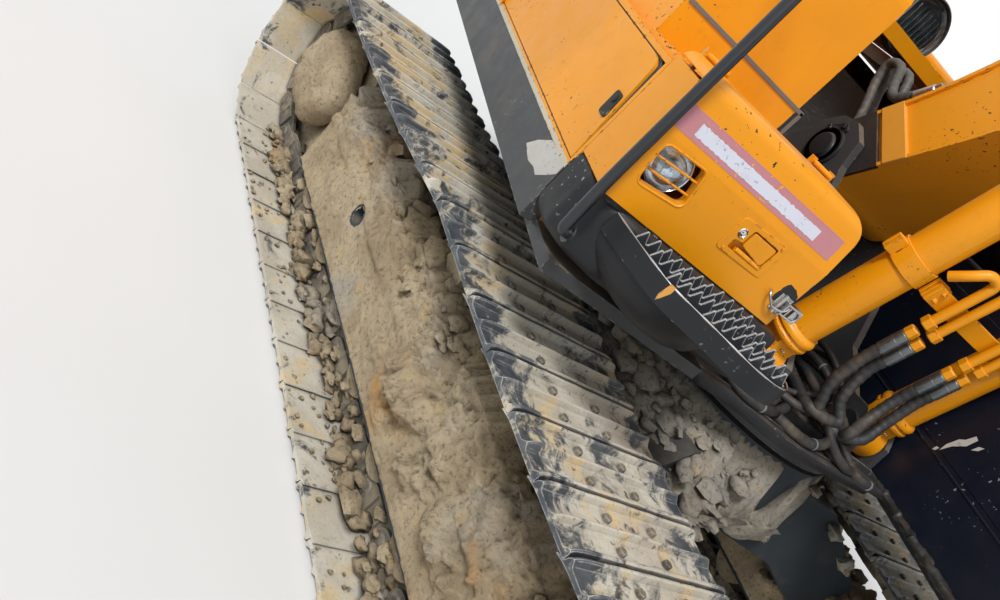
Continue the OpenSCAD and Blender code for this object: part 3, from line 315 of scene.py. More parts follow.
def glass(name, color):
    k = Look(name, Transmission_Weight=1.0, IOR=1.45)
    k.set(Base_Color=k.mix(k.span(k.noise(4, 6, 0.7), 0.5, 0.8, 0.0, 0.35), color, (0.34, 0.31, 0.26)))
    k.set(Roughness=k.span(k.noise(7, 6, 0.7), 0.45, 0.8, 0.03, 0.30))
    return k.mat


ORANGE = (0.82, 0.31, 0.003)
orange = paint("orange_enamel", ORANGE, 0.34, chips=0.6, dust=0.06, edge=0.7, fade=0.05)
orange_cover = paint("orange_cover", ORANGE, 0.32, chips=0.25, dust=0.05, edge=0.5, fade=0.05)
orange_dusty = paint("orange_enamel_dusty", ORANGE, 0.42, chips=0.8, dust=0.35, edge=0.9)
black = paint("black_enamel", (0.017, 0.018, 0.021), 0.42, chips=0.4, dust=0.18, edge=0.35,
              under=(0.2, 0.2, 0.2), fade=0.02, coat=0.05)
navy = paint("navy_enamel", (0.005, 0.008, 0.017), 0.34, chips=0.3, dust=0.06, edge=0.2,
             under=(0.25, 0.25, 0.25), fade=0.01, coat=0.2)
frame_blue = paint("frame_enamel", (0.032, 0.042, 0.052), 0.5, chips=0.5, dust=0.75, edge=0.4,
                   under=(0.14, 0.08, 0.04), fade=0.05, coat=0)
leg_blue = paint("leg_enamel", (0.026, 0.034, 0.041), 0.5, chips=0.6, dust=0.3, edge=0.4,
                 under=(0.14, 0.08, 0.04), fade=0.04, coat=0)
cream = paint("cream_strip", (0.56, 0.50, 0.38), 0.5, chips=0.9, dust=0.3, edge=0.8, fade=0.1, coat=0)
mauve = paint("mauve_stripe", (0.52, 0.22, 0.24), 0.45, chips=0.8, dust=0.12, edge=0.3,
              under=(0.80, 0.33, 0.03), coat=0)
white = paint("white_stripe", (0.66, 0.68, 0.76), 0.5, chips=1.6, dust=0.06, edge=0.3,
              under=(0.36, 0.36, 0.42), coat=0)
scuffed = paint("scuffed_white", (0.52, 0.50, 0.46), 0.6, chips=2.4, dust=0.5, edge=0.5,
                under=(0.05, 0.05, 0.055), coat=0)
soil = clay("clay")
ACROSS = (-math.sin(TURN), math.cos(TURN), 0)
shoe_steel = {side: shoe_plates("shoe_plates_" + label, ACROSS, side * TRACK_Y * MM + ACROSS[0] * AXIS)
              for side, label in LABEL.items()}
chain_steel = track_steel("chain_steel", 0.95, 0.35)
bucket_steel = track_steel("bucket_steel", 0.45, 0.9)
hose_rubber = rubber("hose_rubber")
trim_rubber = rubber("trim_rubber", (0.012, 0.012, 0.013), 0.5, 0.12, 0.001)
plastic = rubber("black_plastic", (0.02, 0.02, 0.022), 0.5, 0.2)
chrome = metal("hard_chrome", (0.62, 0.63, 0.65), 0.12, 0.1)
zinc = metal("zinc_plate", (0.50, 0.50, 0.50), 0.34, 0.35)
cast = metal("cast_iron_grey", (0.20, 0.19, 0.18), 0.6, 0.7)
ring_steel = metal("ring_steel", (0.34, 0.33, 0.31), 0.4, 0.7)
lens = glass("lamp_lens", (0.86, 0.90, 0.92))
window = glass("window_glass", (0.30, 0.36, 0.38))
seat_cloth = rubber("seat_cloth", (0.03, 0.03, 0.034), 0.9, 0.1)
rub_orange = paint("orange_rub", (0.62, 0.30, 0.06), 0.6, chips=2.2, dust=0.2, edge=1.0,
                   under=(0.12, 0.10, 0.08))
foot_orange = paint("orange_casting", (0.78, 0.34, 0.035), 0.5, chips=1.2, dust=0.12, edge=1.6,
                    under=(0.30, 0.15, 0.04))
boom_orange = paint("orange_boom", (0.84, 0.33, 0.012), 0.40, chips=0.5, dust=0.10, edge=0.8, fade=0.07)
black_clean = paint("black_enamel_clean", (0.011, 0.012, 0.014), 0.42, chips=0.3, dust=0.05, edge=0.4,
                    under=(0.3, 0.3, 0.3), fade=0.015, coat=0.05)
rail_black = paint("rail_enamel", (0.012, 0.014, 0.018), 0.28, chips=0.2, dust=0.06, edge=0.0, fade=0.02,
                   coat=0.5)
step_steel = paint("step_teeth", (0.03, 0.033, 0.038), 0.4, chips=0.2, dust=0.06, edge=2.2,
                   under=(0.55, 0.55, 0.54), fade=0.05)
# The third colour of each clay is the shade painted into its pits and hollows
clay_grey = clay("clay_grey", (0.46, 0.415, 0.34), (0.34, 0.30, 0.24), (0.13, 0.11, 0.085), 0.1)
caked = clay("clay_caked", (0.55, 0.45, 0.31), (0.42, 0.33, 0.21), (0.15, 0.11, 0.075), 0.3)
# Near-black for the boom foot's boss: the painted shade of the gap behind the foot bracket
shade_black = paint("boss_painted_shade", (0.028, 0.024, 0.022), 0.45, chips=0.6, dust=0.35, edge=0.5,
                under=(0.25, 0.10, 0.01), coat=0.2)
skirt_black = paint("skirt_enamel", (0.045, 0.047, 0.05), 0.45, chips=0.9, dust=0.6, edge=0.7,
                    under=(0.22, 0.21, 0.2), fade=0.1)
seam_grey = paint("seam_grey", (0.17, 0.155, 0.14), 0.6, chips=0.8, dust=0.2, edge=0.5, coat=0)
tie_grey = rubber("tie_grey", (0.16, 0.16, 0.165), 0.6, 0.2)
hose_grey = rubber("hose_grey", (0.075, 0.072, 0.068), 0.6, 0.3)
ferrule = metal("ferrule_steel", (0.22, 0.24, 0.25), 0.42, 0.4)

# CAD nodes keep their shape, with softened edges and a finish of their own
FINISH = {
    leg_blue: ["center_frame"],
    frame_blue: ["track_frame_right", "track_frame_left"],
    caked: ["final_drive_right", "final_drive_left", "idler_right", "idler_left", "rollers_right",
            "rollers_left"],
    ring_steel: ["swing_ring"],
    skirt_black: ["revolving_frame"],
    black: ["counterweight", "front_step", "handrails", "exhaust_pipe"],
    cast: ["engine_block"],
    orange: ["engine_hood", "rear_side_panels", "pump_door_right", "radiator_door_left", "fuel_tank",
             "hydraulic_tank", "tank_side_box", "side_door_right", "toolbox", "toolbox_cover", "boom_barrels",
             "arm", "arm_barrel", "bucket_barrel"],
    orange_dusty: ["boom", "tipping_lever", "bucket_link"],
    navy: ["cab_shell", "cab_door"],
    window: ["cab_glass", "cab_door_glass"],
    plastic: ["operator_seat"],
    zinc: ["work_lamp"],
    chrome: ["boom_rods", "arm_rod", "bucket_rod"],
    bucket_steel: ["bucket"],
    chain_steel: ["track_right", "track_left"],
}
SOFT_EDGE = {"counterweight": 45, "fuel_tank": 22, "hydraulic_tank": 22, "cab_shell": 14, "cab_door": 8,
             "engine_hood": 22,
             "operator_seat": 30, "revolving_frame": 4, "boom": 5, "arm": 5, "bucket": 4, "cab_glass": 0,
             "cab_door_glass": 0,
             "tank_side_box": 8, "side_door_right": 9, "front_step": 10, "track_right": 0, "track_left": 0}


def soften(obj, width, segments, angle=30):
    edge = obj.modifiers.new("edge", "BEVEL")
    edge.width = width * MM
    edge.segments = segments
    edge.limit_method = "ANGLE"
    edge.angle_limit = math.radians(angle)
    edge.harden_normals = True


def finish(obj, body, bevel=0.0, segments=2, smooth=32):
    """Shading, softened edges and body of a piece of this scene."""
    obj.data.shade_smooth()
    obj.data.set_sharp_from_angle(angle=math.radians(smooth))
    if bevel:
        soften(obj, bevel, segments)
    if body:
        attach(obj, body)
    return obj


for material, names in FINISH.items():
    for name in names:
        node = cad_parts[name]
        for s in node.material_slots:
            s.material = material
        if not node.material_slots:
            node.data.materials.append(material)
        width = SOFT_EDGE.get(name, 4)
        if width:
            flat = node.modifiers.new("flat", "DECIMATE")
            flat.decimate_type = "DISSOLVE"
            flat.angle_limit = math.radians(0.6)
            soften(node, width, 3, 34)


# Geometry
class Build:
    """Collects closed shapes drawn in millimetres in one of the places, then makes one piece of them."""

    def __init__(self, place=upper):
        self.bm = bmesh.new()
        self.place = place

    def points(self, points):
        return [self.bm.verts.new(self.place(*p)) for p in points]

    def face(self, verts):
        return self.bm.faces.new(verts)

    def bridge(self, rows, closed=False):
        """Faces between rows of points, each row a closed loop, with caps unless the rows close."""
        loops = [self.points(row) for row in rows]
        n = len(loops[0])
        last = len(loops) if closed else len(loops) - 1
        for r in range(last):
            a, b = loops[r], loops[(r + 1) % len(loops)]
            for i in range(n):
                self.face([a[i], a[(i + 1) % n], b[(i + 1) % n], b[i]])
        if not closed:
            self.face(loops[0][::-1])
            self.face(loops[-1])

    def prism(self, outline, low, high, axis="y"):
        spot = "xyz".index(axis)
        self.bridge([[(*p[:spot], t, *p[spot:]) for p in outline] for t in (low, high)])

    def box(self, low, high):
        self.prism([(low[0], low[2]), (high[0], low[2]), (high[0], high[2]), (low[0], high[2])], low[1],
                   high[1])

    def lathe(self, base, along, profile, sides=24):
        """A turned shape: profile is a list of (radius, height), radius over 0."""
        base, along = Vector(base), Vector(along).normalized()
        side = along.orthogonal().normalized()
        other = along.cross(side)
        self.bridge([[base + along * h + (side * math.cos(a) + other * math.sin(a)) * r
                      for a in around(sides)]
                     for r, h in profile])

    def tube(self, points, radius, sides=12, closed=False):
        points = [Vector(p) for p in points]
        n = len(points)
        rows = []
        normal = None
        for i, p in enumerate(points):
            ahead = points[(i + 1) % n] if closed or i < n - 1 else p
            behind = points[i - 1] if closed or i > 0 else p
            along = (ahead - behind).normalized()
            normal = along.orthogonal() if normal is None else normal - along * normal.dot(along)
            normal.normalize()
            other = along.cross(normal)
            r = radius(i / (n - 1)) if callable(radius) else radius
            rows.append([p + (normal * math.cos(a) + other * math.sin(a)) * r for a in around(sides)])
        self.bridge(rows, closed)

    def clod(self, center, sizes, seed):
        """A ball of three sizes, its surface pushed in and out."""
        for v in bmesh.ops.create_icosphere(self.bm, subdivisions=2, radius=1.0)["verts"]:
            d = v.co.copy()
            f = 1 + 0.75 * fbm(d, 1.3, 3, seed + center[0] * 0.37 + center[1] * 0.11)
            v.co = self.place(*(center[i] + d[i] * sizes[i] * f for i in range(3)))

    def done(self, name, material, body=None, slot=None, bevel=0.0, segments=2, smooth=32):
        bmesh.ops.recalc_face_normals(self.bm, faces=self.bm.faces[:])
        mesh = bpy.data.meshes.new(name)
        self.bm.to_mesh(mesh)
        self.bm.free()
        mesh.materials.append(material)
        return finish(link(bpy.data.objects.new(name, mesh)), body, bevel, segments, smooth)


def round_corners(corners, steps=5):
    """A closed outline whose corners (x, y, radius) are rounded."""
    out = []
    for i, (x, y, r) in enumerate(corners):
        p = Vector((x, y))
        if not r:
            out.append((x, y))
            continue
        a = (Vector(corners[i - 1][:2]) - p).normalized()
        b = (Vector(corners[(i + 1) % len(corners)][:2]) - p).normalized()
        half = a.angle(b) / 2
        c = p + (a + b).normalized() * (r / math.sin(half))
        s = p + a * (r / math.tan(half)) - c
        e = p + b * (r / math.tan(half)) - c
        sweep = s.angle_signed(e)
        for k in range(steps + 1):
            t = -sweep * k / steps
            out.append((c.x + s.x * math.cos(t) - s.y * math.sin(t),
                        c.y + s.x * math.sin(t) + s.y * math.cos(t)))
    return out


def flow(points, steps=6):
    """A smooth line through points."""
    pts = [Vector(p) for p in points]
    pts = [2 * pts[0] - pts[1]] + pts + [2 * pts[-1] - pts[-2]]
    out = []
    for i in range(1, len(pts) - 2):
        p0, p1, p2, p3 = pts[i - 1:i + 3]
        for k in range(steps):
            t = k / steps
            out.append(0.5 * (2 * p1 + (p2 - p0) * t + (2 * p0 - 5 * p1 + 4 * p2 - p3) * t * t
                              + (3 * p1 - p0 - 3 * p2 + p3) * t ** 3))
    out.append(pts[-2])
    return out


# Track chains: the pin line is the one in the source
SPAN, CHAIN_R, PIN_Z, SHOES = 3100, 322, 80, 43
CARRIER_X, CARRIER_RISE, SAG = -60, 25, 24
AXLE_Z = CHAIN_R + PIN_Z
ARC = math.pi * CHAIN_R
PITCH = (2 * SPAN + 2 * ARC) / SHOES


def top_z(x):
    end = SPAN / 2 if x > CARRIER_X else -SPAN / 2
    u = (x - CARRIER_X) / (end - CARRIER_X)
    return AXLE_Z + CHAIN_R + CARRIER_RISE * (1 - u) - 4 * SAG * u * (1 - u)


def pin_line(s):
    if s < SPAN:
        return Vector((s - SPAN / 2, PIN_Z))
    if s < SPAN + ARC:
        a = (s - SPAN) / CHAIN_R - math.pi / 2
        return Vector((SPAN / 2 + CHAIN_R * math.cos(a), AXLE_Z + CHAIN_R * math.sin(a)))
    if s < 2 * SPAN + ARC:
        x = SPAN / 2 - (s - SPAN - ARC)
        return Vector((x, top_z(x)))
    a = (s - 2 * SPAN - ARC) / CHAIN_R + math.pi / 2
    return Vector((-SPAN / 2 + CHAIN_R * math.cos(a), AXLE_Z + CHAIN_R * math.sin(a)))


PINS = [pin_line(i * PITCH) for i in range(SHOES)]
# One shoe from pin to pin, as (along, outward from the pin line)
SHOE = [(3, 43), (2, 57), (5, 77), (10, 80), (16, 78), (22, 58), (27, 54), (80, 53), (87, 58), (92, 76),
        (96, 79), (100, 76),
        (105, 58), (112, 53), (160, 54), (167, 58), (172, 77), (177, 80), (183, 77), (188, 57), (191, 47),
        (214, 39), (214, 35), (188, 40), (160, 42), (30, 42)]


def link_frames():
    for i in range(SHOES):
        a, b = PINS[i], PINS[(i + 1) % SHOES]
        u = (b - a).normalized()
        yield i, a, u, Vector((u.y, -u.x)), (b - a).length / PITCH


SHOE_STEPS = [-300, -296, -288, -262, -228, -190, -150, -110, -70, -30, 10, 50, 90, 130, 170, 205, 240, 270,
              288, 296, 300]
CREST, CREST_TOP, PLATE = 60, 80, 50
# Link plates: from and to along the pitch, then the inner and outer face
LINK_PLATES = [(-36, 76, 79, 95), (60, 131, 61, 95), (115, PITCH + 36, 60, 78)]


def link_outline(s0, s1):
    """A boss round each pin that the plate reaches, a straight end at the other side."""
    line = []
    for end, boss, start in ((max(s0, 0), s0 < 0, 90), (min(s1, PITCH), s1 > PITCH, -90)):
        if boss:
            turns = [math.radians(start + t) for t in range(0, 181, 30)]
            line += [(end + 40 * math.cos(t), 40 * math.sin(t)) for t in turns]
        else:
            line += [(end, 41), (end, -44)][::1 if start == 90 else -1]
    return line


def make_tracks(side):
    mid = side * TRACK_Y
    shoes, bolts, chain = Build(under), Build(under), Build(under)
    rng = random.Random(7 + side)
    for i, a, u, out, stretch in link_frames():
        def at(s, v):
            return a + u * s * stretch + out * v

        tilt = rng.uniform(-0.006, 0.006)
        rows = []
        for w in SHOE_STEPS:
            low = max(0.0, (abs(w) - 282) / 18)
            row = []
            for s, v in SHOE:
                q = (s * 0.013, i * 3.1 + v * 0.02, w * 0.011 + side * 9)
                rough = noise.noise(Vector(q) * 1.9)
                if v > CREST:
                    v = v - 3.5 * abs(rough) - low * 9 - 2.0
                    s = s + 2.2 * noise.noise(Vector((i * 5.3, w * 0.03, 4.0 + side)))
                elif v > PLATE:
                    v = v + 0.9 * rough + low * 1.5
                bend = 3.0 * noise.noise(Vector((i * 2.7 + side, w * 0.004, 8.5)))
                v = min(CREST_TOP, v + tilt * w * 0.5 + bend * abs(w) / 300)
                p = at(s, v)
                row.append((p.x, mid + w, max(p.y, 0.2)))
            rows.append(row)
        shoes.bridge(rows)
        for w in (-88, 88):
            for s in (50, 138):
                p, q = at(s, 52), at(s, 42)
                bolts.lathe((p.x, mid + w, p.y), (out.x, 0, out.y), [(13, 0), (13, 12), (11, 14)], 6)
                bolts.lathe((q.x, mid + w * 0.88, q.y), (-out.x, 0, -out.y), [(12, 0), (12, 10)], 6)
        for face in (-1, 1):
            for s0, s1, w0, w1 in LINK_PLATES:
                outline = [tuple(at(s, v)) for s, v in link_outline(s0, s1)]
                chain.prism(outline, *sorted((mid + face * w0, mid + face * w1)))
        chain.lathe((a.x, mid - 100, a.y), (0, 1, 0), [(19, 0), (22, 3), (22, 197), (19, 200)], 14)
        chain.lathe((a.x, mid - 60, a.y), (0, 1, 0), [(29, 0), (29, 120)], 14)
    label = LABEL[side]
    made = shoes.done("track_shoes_" + label, shoe_steel[side], LOWER, "dusty_steel", smooth=28)
    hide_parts("track_" + label)
    bolts.done("track_bolts_" + label, chain_steel, LOWER, "dusty_steel")
    chain.done("track_chain_" + label, chain_steel, LOWER, "dusty_steel", bevel=3, segments=1)


for track_side in (-1, 1):
    make_tracks(track_side)


# Clay that dried on the undercarriage: the track frame's section, and its open hole
FRAME_END, FRAME_LOW, SHOULDER, ROOF, RIDGE, HALF = 1150, 188, 430, 560, 70, 150
HOLE_X, HOLE_Z, HOLE_EDGE, HOLE_R = -567, 387, 42, 34


def clay_on_frame(side):
    """A blanket round the track frame's section, thick on the roof and thin on the outer side."""
    mid = side * TRACK_Y
    corners = [(side * y, z) for y, z in ((HALF, FRAME_LOW), (HALF, SHOULDER), (RIDGE, ROOF), (-RIDGE, ROOF),
                                          (-HALF, SHOULDER), (-HALF, FRAME_LOW))]
    section = []
    for p, q, count in zip(corners, corners[1:], (30, 22, 18, 16, 12)):
        for t in (k / count for k in range(count)):
            section.append((p[0] + (q[0] - p[0]) * t, p[1] + (q[1] - p[1]) * t, p, q))
    section.append((*corners[-1], corners[-2], corners[-1]))
    b = Build(under)
    rows = []
    count_x = 270
    for ix in range(count_x + 1):
        x = -FRAME_END - 25 + (2 * FRAME_END + 50) * ix / count_x
        row = []
        for k, (y, z, p, q) in enumerate(section):
            n0 = Vector((-(q[1] - p[1]), q[0] - p[0])).normalized() * -side
            if n0.dot(Vector((y, z - 380))) < 0:
                n0 = -n0
            lump = fbm((x, y + side * 500, z), 0.0042, 5, 3.0)
            fine = fbm((x, y, z), 0.021, 4, 7.0)
            crumb = fbm((x, y, z), 0.055, 4, 1.0)
            front = min(1.0, max(0.0, (x + 150) / 420))
            roof = min(1.0, max(0.0, (z - SHOULDER + 30) / 90))
            outer = y * side > 0
            thick = 5 + 5 * max(0.0, fine) + 9 * max(0.0, lump) + 3.5 * crumb
            heap = 38 + 74 * lump + 17 * fine + 7 * crumb + 16 * front
            if not outer:
                heap += 14
            thick += roof * max(0.0, heap)
            mound = 14 + 95 * fbm((x, z * 1.3, 3.0), 0.0062, 4, 9.0) + 14 * fine + 6 * crumb
            low_end = min(1.0, max(0.0, (z - 215) / 120))
            thick += front * low_end * (1 - roof) * max(0.0, mound)
            if x < -350:
                thick += roof * 18 * max(0.0, math.sin((x + 350) * -0.009))
            away = math.hypot(x - HOLE_X, z - HOLE_Z)
            if outer and away < 75 and z < SHOULDER:
                thick *= max(0.0, (away - HOLE_EDGE) / 33)
                thick -= 4 * (away < HOLE_EDGE)
            ends = max(0.0, (abs(x) - FRAME_END + 20) / 45)
            thick = thick * (1 - ends) - 8 * ends
            if k in (0, len(section) - 1):
                thick = -3
            row.append((x + 6 * fine, mid + y + n0.x * thick, z + n0.y * thick))
        rows.append(b.points(row))
    for r in range(count_x):
        for k in range(len(section) - 1):
            y, z = section[k][:2]
            x = -FRAME_END - 25 + (2 * FRAME_END + 50) * (r + 0.5) / count_x
            if y * side > 0 and z < SHOULDER and math.hypot(x - HOLE_X, z + 7 - HOLE_Z) < HOLE_R:
                continue
            b.face([rows[r][k], rows[r][k + 1], rows[r + 1][k + 1], rows[r + 1][k]])
    b.done("clay_on_frame_" + LABEL[side], soil, LOWER, "dusty_steel", smooth=75)


def clods(name, places, material=soil):
    """Lumps of clay: each is (x, y, z, size) in the tracks' frame."""
    rng = random.Random(len(name) * 31 + len(places))
    b = Build(under)
    for x, y, z, r in places:
        b.clod((x, y, z), [r * rng.uniform(*span) for span in ((0.9, 1.5), (0.8, 1.2), (0.6, 0.9))],
               rng.uniform(0, 40))
    b.done(name, material, LOWER, "dusty_steel", smooth=70)


def scatter_clods(side):
    mid = side * TRACK_Y
    rng = random.Random(41 + side)
    lumps = []
    # Between the frame's roof and the chain above it
    for _ in range(150):
        x = rng.uniform(-1180, 1180)
        y = rng.uniform(-125, 135) * side * -1
        high = ROOF + 20 - max(0, abs(y) - RIDGE) * 1.3
        lumps.append((x, mid + y, high + rng.uniform(-12, 26), rng.uniform(10, 30)))
    for _ in range(34):
        x = rng.uniform(-980, 150)
        y = rng.uniform(-20, 128) * side
        lumps.append((x, mid + y, ROOF + 24 - max(0, abs(y) - RIDGE) * 1.4 + rng.uniform(-10, 16),
                      rng.uniform(36, 64)))
    # On the inner face of the ground run, beside the links
    for _ in range(330):
        x = rng.uniform(-1560, 1560)
        y = rng.choice((-1, 1)) * rng.uniform(98, 160)
        lumps.append((x, mid + y, 38 + rng.uniform(0, 34),
                      rng.choice((9, 14, 22, 30, 36)) * rng.uniform(0.7, 1.1)))
    for _ in range(260):
        x = rng.uniform(-1600, 1600)
        y = rng.choice((-1, 1)) * rng.uniform(110, 296)
        lumps.append((x, mid + y, 39 + rng.uniform(0, 4), rng.uniform(3, 9)))
    # Pressed into the chain round the rollers
    for _ in range(110):
        x = rng.uniform(-1150, 1250)
        y = rng.choice((-1, 1)) * rng.uniform(70, 112)
        lumps.append((x, mid + y, rng.uniform(60, 135), rng.uniform(12, 30)))
    clods("clay_lumps_" + LABEL[side], lumps)


def clay_on_hub(side):
    """A crust on the motor case, torn open towards the chain."""
    b = Build(under)
    rows = []
    for r, out in ((206, 40), (214, 78), (212, 112), (196, 132), (176, 152), (150, 168), (112, 180),
                   (72, 186), (34, 190), (5, 190)):
        row = []
        for a in around(72):
            x, z = r * math.cos(a), r * math.sin(a)
            lump = fbm((x, z, side * 40), 0.009, 4, 6.0)
            crumb = fbm((x, z, side * 40), 0.045, 4, 8.0)
            grow = 1 + 0.06 * lump + 0.02 * crumb
            out_y = min(196, out + 20 * lump + 7 * crumb)
            row.append((-SPAN / 2 + x * grow, side * (TRACK_Y + out_y), AXLE_Z + z * grow))
        rows.append(row)
    b.bridge(rows)
    b.done("clay_on_hub_" + LABEL[side], soil, LOWER, "dusty_steel", smooth=75)


for track_side in (-1, 1):
    clay_on_hub(track_side)
    clay_on_frame(track_side)
    scatter_clods(track_side)


def carve(obj, cutters, kind="DIFFERENCE", overlaps=False):
    """Cuts and joins of whole shapes, done once and kept as a plain mesh."""
    for cutter in cutters:
        step = obj.modifiers.new("cut", "BOOLEAN")
        step.object = cutter
        step.operation = kind
        step.solver = "EXACT"
        step.use_self = overlaps
    graph = bpy.context.evaluated_depsgraph_get()
    mesh = bpy.data.meshes.new_from_object(obj.evaluated_get(graph))
    spent = [obj.data] + [cutter.data for cutter in cutters]
    obj.modifiers.clear()
    obj.data = mesh
    mesh.name = obj.name
    for cutter in cutters:
        bpy.data.objects.remove(cutter)
    for data in spent:
        bpy.data.meshes.remove(data)
    return obj


def repaint(obj, material):
    obj.data.materials.clear()
    obj.data.materials.append(material)


def knife(shape, place=upper):
    """A closed shape that only cuts: shape draws it."""
    b = Build(place)
    shape(b)
    return b.done("cutter", orange)


def bolts(name, spots, along, size, body, material=zinc, place=upper, washer=True):
    """Hexagon bolt heads that look along one direction."""
    b = Build(place)
    for spot in spots:
        if washer:
            b.lathe(spot, along, [(size * 1.25, -1), (size * 1.25, size * 0.18)], 16)
        b.lathe(spot, along, [(size, 0), (size, size * 0.75), (size * 0.86, size * 0.9)], 6)
    return b.done(name, material, body, bevel=0.6, segments=1)


def bent(points, radius=60, steps=6):
    """Straights through points with each corner rounded."""
    pts = [Vector(p) for p in points]
    out = [pts[0]]
    for a, p, c in zip(pts, pts[1:], pts[2:]):
        r = min(radius, (p - a).length * 0.48, (c - p).length * 0.48)
        s, e = p + (a - p).normalized() * r, p + (c - p).normalized() * r
        for k in range(steps + 1):
            t = k / steps
            out.append(s * (1 - t) ** 2 + p * 2 * t * (1 - t) + e * t * t)
    out.append(pts[-1])
    return out


SIDE = 1245

# Toolbox cover: rounded sheet with a lamp window and a latch pocket
FACE_X, FOLD_Z, LID_Z, LID_X = 770, 1440, 1592, 745


def face_x(z):
    return FACE_X if z < FOLD_Z else FACE_X - (z - FOLD_Z) * (FACE_X - LID_X) / (LID_Z - FOLD_Z)


def make_cover():
    b = Build()
    b.prism(round_corners([(740, 1252, 0), (770, 1252, 0), (770, 1440, 60), (745, 1592, 42), (563, 1592, 0),
                           (563, 1566, 0), (722, 1566, 18), (744, 1436, 20)]), -SIDE, -635)
    cover = b.done("cover_sheet", orange)

    def cut(corners, steps, low, high):
        return knife(lambda b: b.prism(round_corners(corners, steps), low, high, "x"))

    trim = [(-SIDE, 1240, 0), (-SIDE, 1592.5, 46), (-635, 1592.5, 62), (-635, 1240, 0)]
    lamp_window = [(-1221, 1420, 16), (-1096, 1431, 16), (-1072, 1337, 18), (-1207, 1319, 18)]
    pocket = [(-912, 1335, 8), (-912, 1366, 8), (-886, 1369, 6), (-886, 1412, 8), (-790, 1412, 8),
              (-790, 1338, 8)]
    carve(cover, [cut(trim, 8, 540, 800)], "INTERSECT")
    carve(cover, [cut(lamp_window, 6, 700, 800), cut(pocket, 4, 752, 800)])
    cover.name = "toolbox_front"
    repaint(cover, orange_cover)
    finish(cover, "toolbox_cover", 5.0, 3)
    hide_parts("toolbox_cover")
    # Rolled rim of the lamp window
    b = Build()
    rim = round_corners([(-1224, 1424, 18), (-1093, 1435, 18), (-1069, 1333, 20), (-1211, 1315, 20)], 5)
    b.tube([(FACE_X - 1.0, y, z) for y, z in rim], 3.2, 8, closed=True)
    for z in (1357, 1392):
        b.tube([(758, -1226, z - 5), (758, -1066, z + 8)], 3.0, 8)
    b.done("lamp_guard", orange, "toolbox_cover", "orange_paint")
    # Latch: raised frame, pressed pocket, paddle and lock
    b = Build()
    b.prism(round_corners([(-934, 1322, 12), (-934, 1420, 12), (-776, 1428, 12), (-770, 1328, 12)], 5), 769,
            772.5, "x")
    plate = b.done("latch_plate", orange)
    hole = [(-908, 1338, 6), (-908, 1364, 6), (-884, 1367, 5), (-884, 1409, 7), (-792, 1409, 7),
            (-792, 1341, 6)]
    finish(carve(plate, [cut(hole, 4, 750, 790)]), "toolbox_cover", 1.4, 2)
    b = Build()
    b.prism(round_corners([(-878, 1362, 5), (-878, 1405, 5), (-797, 1405, 5), (-797, 1350, 8)], 4), 757,
            773, "x")
    b.lathe((768, -884, 1345), (0, 1, 0), [(7, 0), (7, 92)], 12)
    b.done("latch_paddle", orange, "toolbox_cover", "orange_paint", bevel=2, segments=2)
    b = Build()
    b.lathe((771, -906, 1386), (1, 0, 0), [(13, 0), (13, 3), (10.5, 5), (8.5, 2.5), (8.5, 1)], 28)
    b.lathe((771, -906, 1386), (1, 0, 0), [(7.5, 0), (7.5, 3.6), (6.5, 4.2)], 20)
    b.done("latch_lock", chrome, "toolbox_cover", "chrome")
    for y, z in ((-914, 1331), (-790, 1418)):
        bolts("latch_rivet_%d" % -y, [(771.5, y, z)], (1, 0, 0), 4.5, "toolbox_cover", orange, washer=False)

    # Stripe with a bare white panel, following the slope above the fold
    def band(name, z0, z1, y0, y1, off, material, rag=0.0):
        b = Build()
        rows = []
        for t in (i / 90 for i in range(91)):
            y = y0 + (y1 - y0) * t
            lean = (y + SIDE) * 0.014 + rag * noise.noise(Vector((y * 0.11, z0, 5)))
            rows.append([(face_x(z + lean) + o - (2.0 if z + lean < FOLD_Z + 16 else 0), y, z + lean)
                         for z, o in ((z0, -1.5), (z0, off), ((z0 + z1) / 2, off), (z1, off), (z1, -1.5))])
        b.bridge(rows)
        b.done(name, material, "toolbox_cover", "orange_paint")

    band("stripe_mauve", 1459, 1519, -1240, -668, 0.9, mauve)
    band("stripe_white", 1471, 1501, -1188, -745, 1.4, white, 3.5)
    # Hasp: wire loop over a keeper, at the inner edge
    b = Build()
    loop = bent([(774, -716, 1330), (786, -722, 1322), (790, -690, 1300), (790, -655, 1306),
                 (786, -640, 1322), (774, -660, 1336)], 12, 4)
    b.tube(loop, 3.4, 8)
    b.tube([(776, -668, 1345), (776, -668, 1288)], 6.5, 12)
    b.tube([(782, -652, 1338), (782, -652, 1292)], 4.2, 10)
    b.box((770, -684, 1292), (774, -640, 1342))
    b.box((771, -658, 1298), (792, -654, 1334))
    b.box((771, -642, 1300), (790, -638, 1330))
    b.tube(bent([(790, -656, 1300), (794, -612, 1302), (794, -604, 1316), (794, -612, 1332),
                 (790, -656, 1332)], 10, 3), 3, 8)
    b.box((764, -628, 1296), (790, -600, 1336))
    b.done("hasp", zinc, "toolbox_cover", "chrome", bevel=1, segments=1)
    b = Build()
    ring = []
    for a in around(28):
        r = 30 * (1 + 0.5 * noise.noise(Vector((math.cos(a), math.sin(a), 3.0)) * 1.7))
        ring.append((-668 + r * 1.1 * math.cos(a), 1337 + r * math.sin(a)))
    b.prism(ring, 769.4, 770.7, "x")
    b.done("hasp_grease", black, "toolbox_cover", "orange_paint")


make_cover()


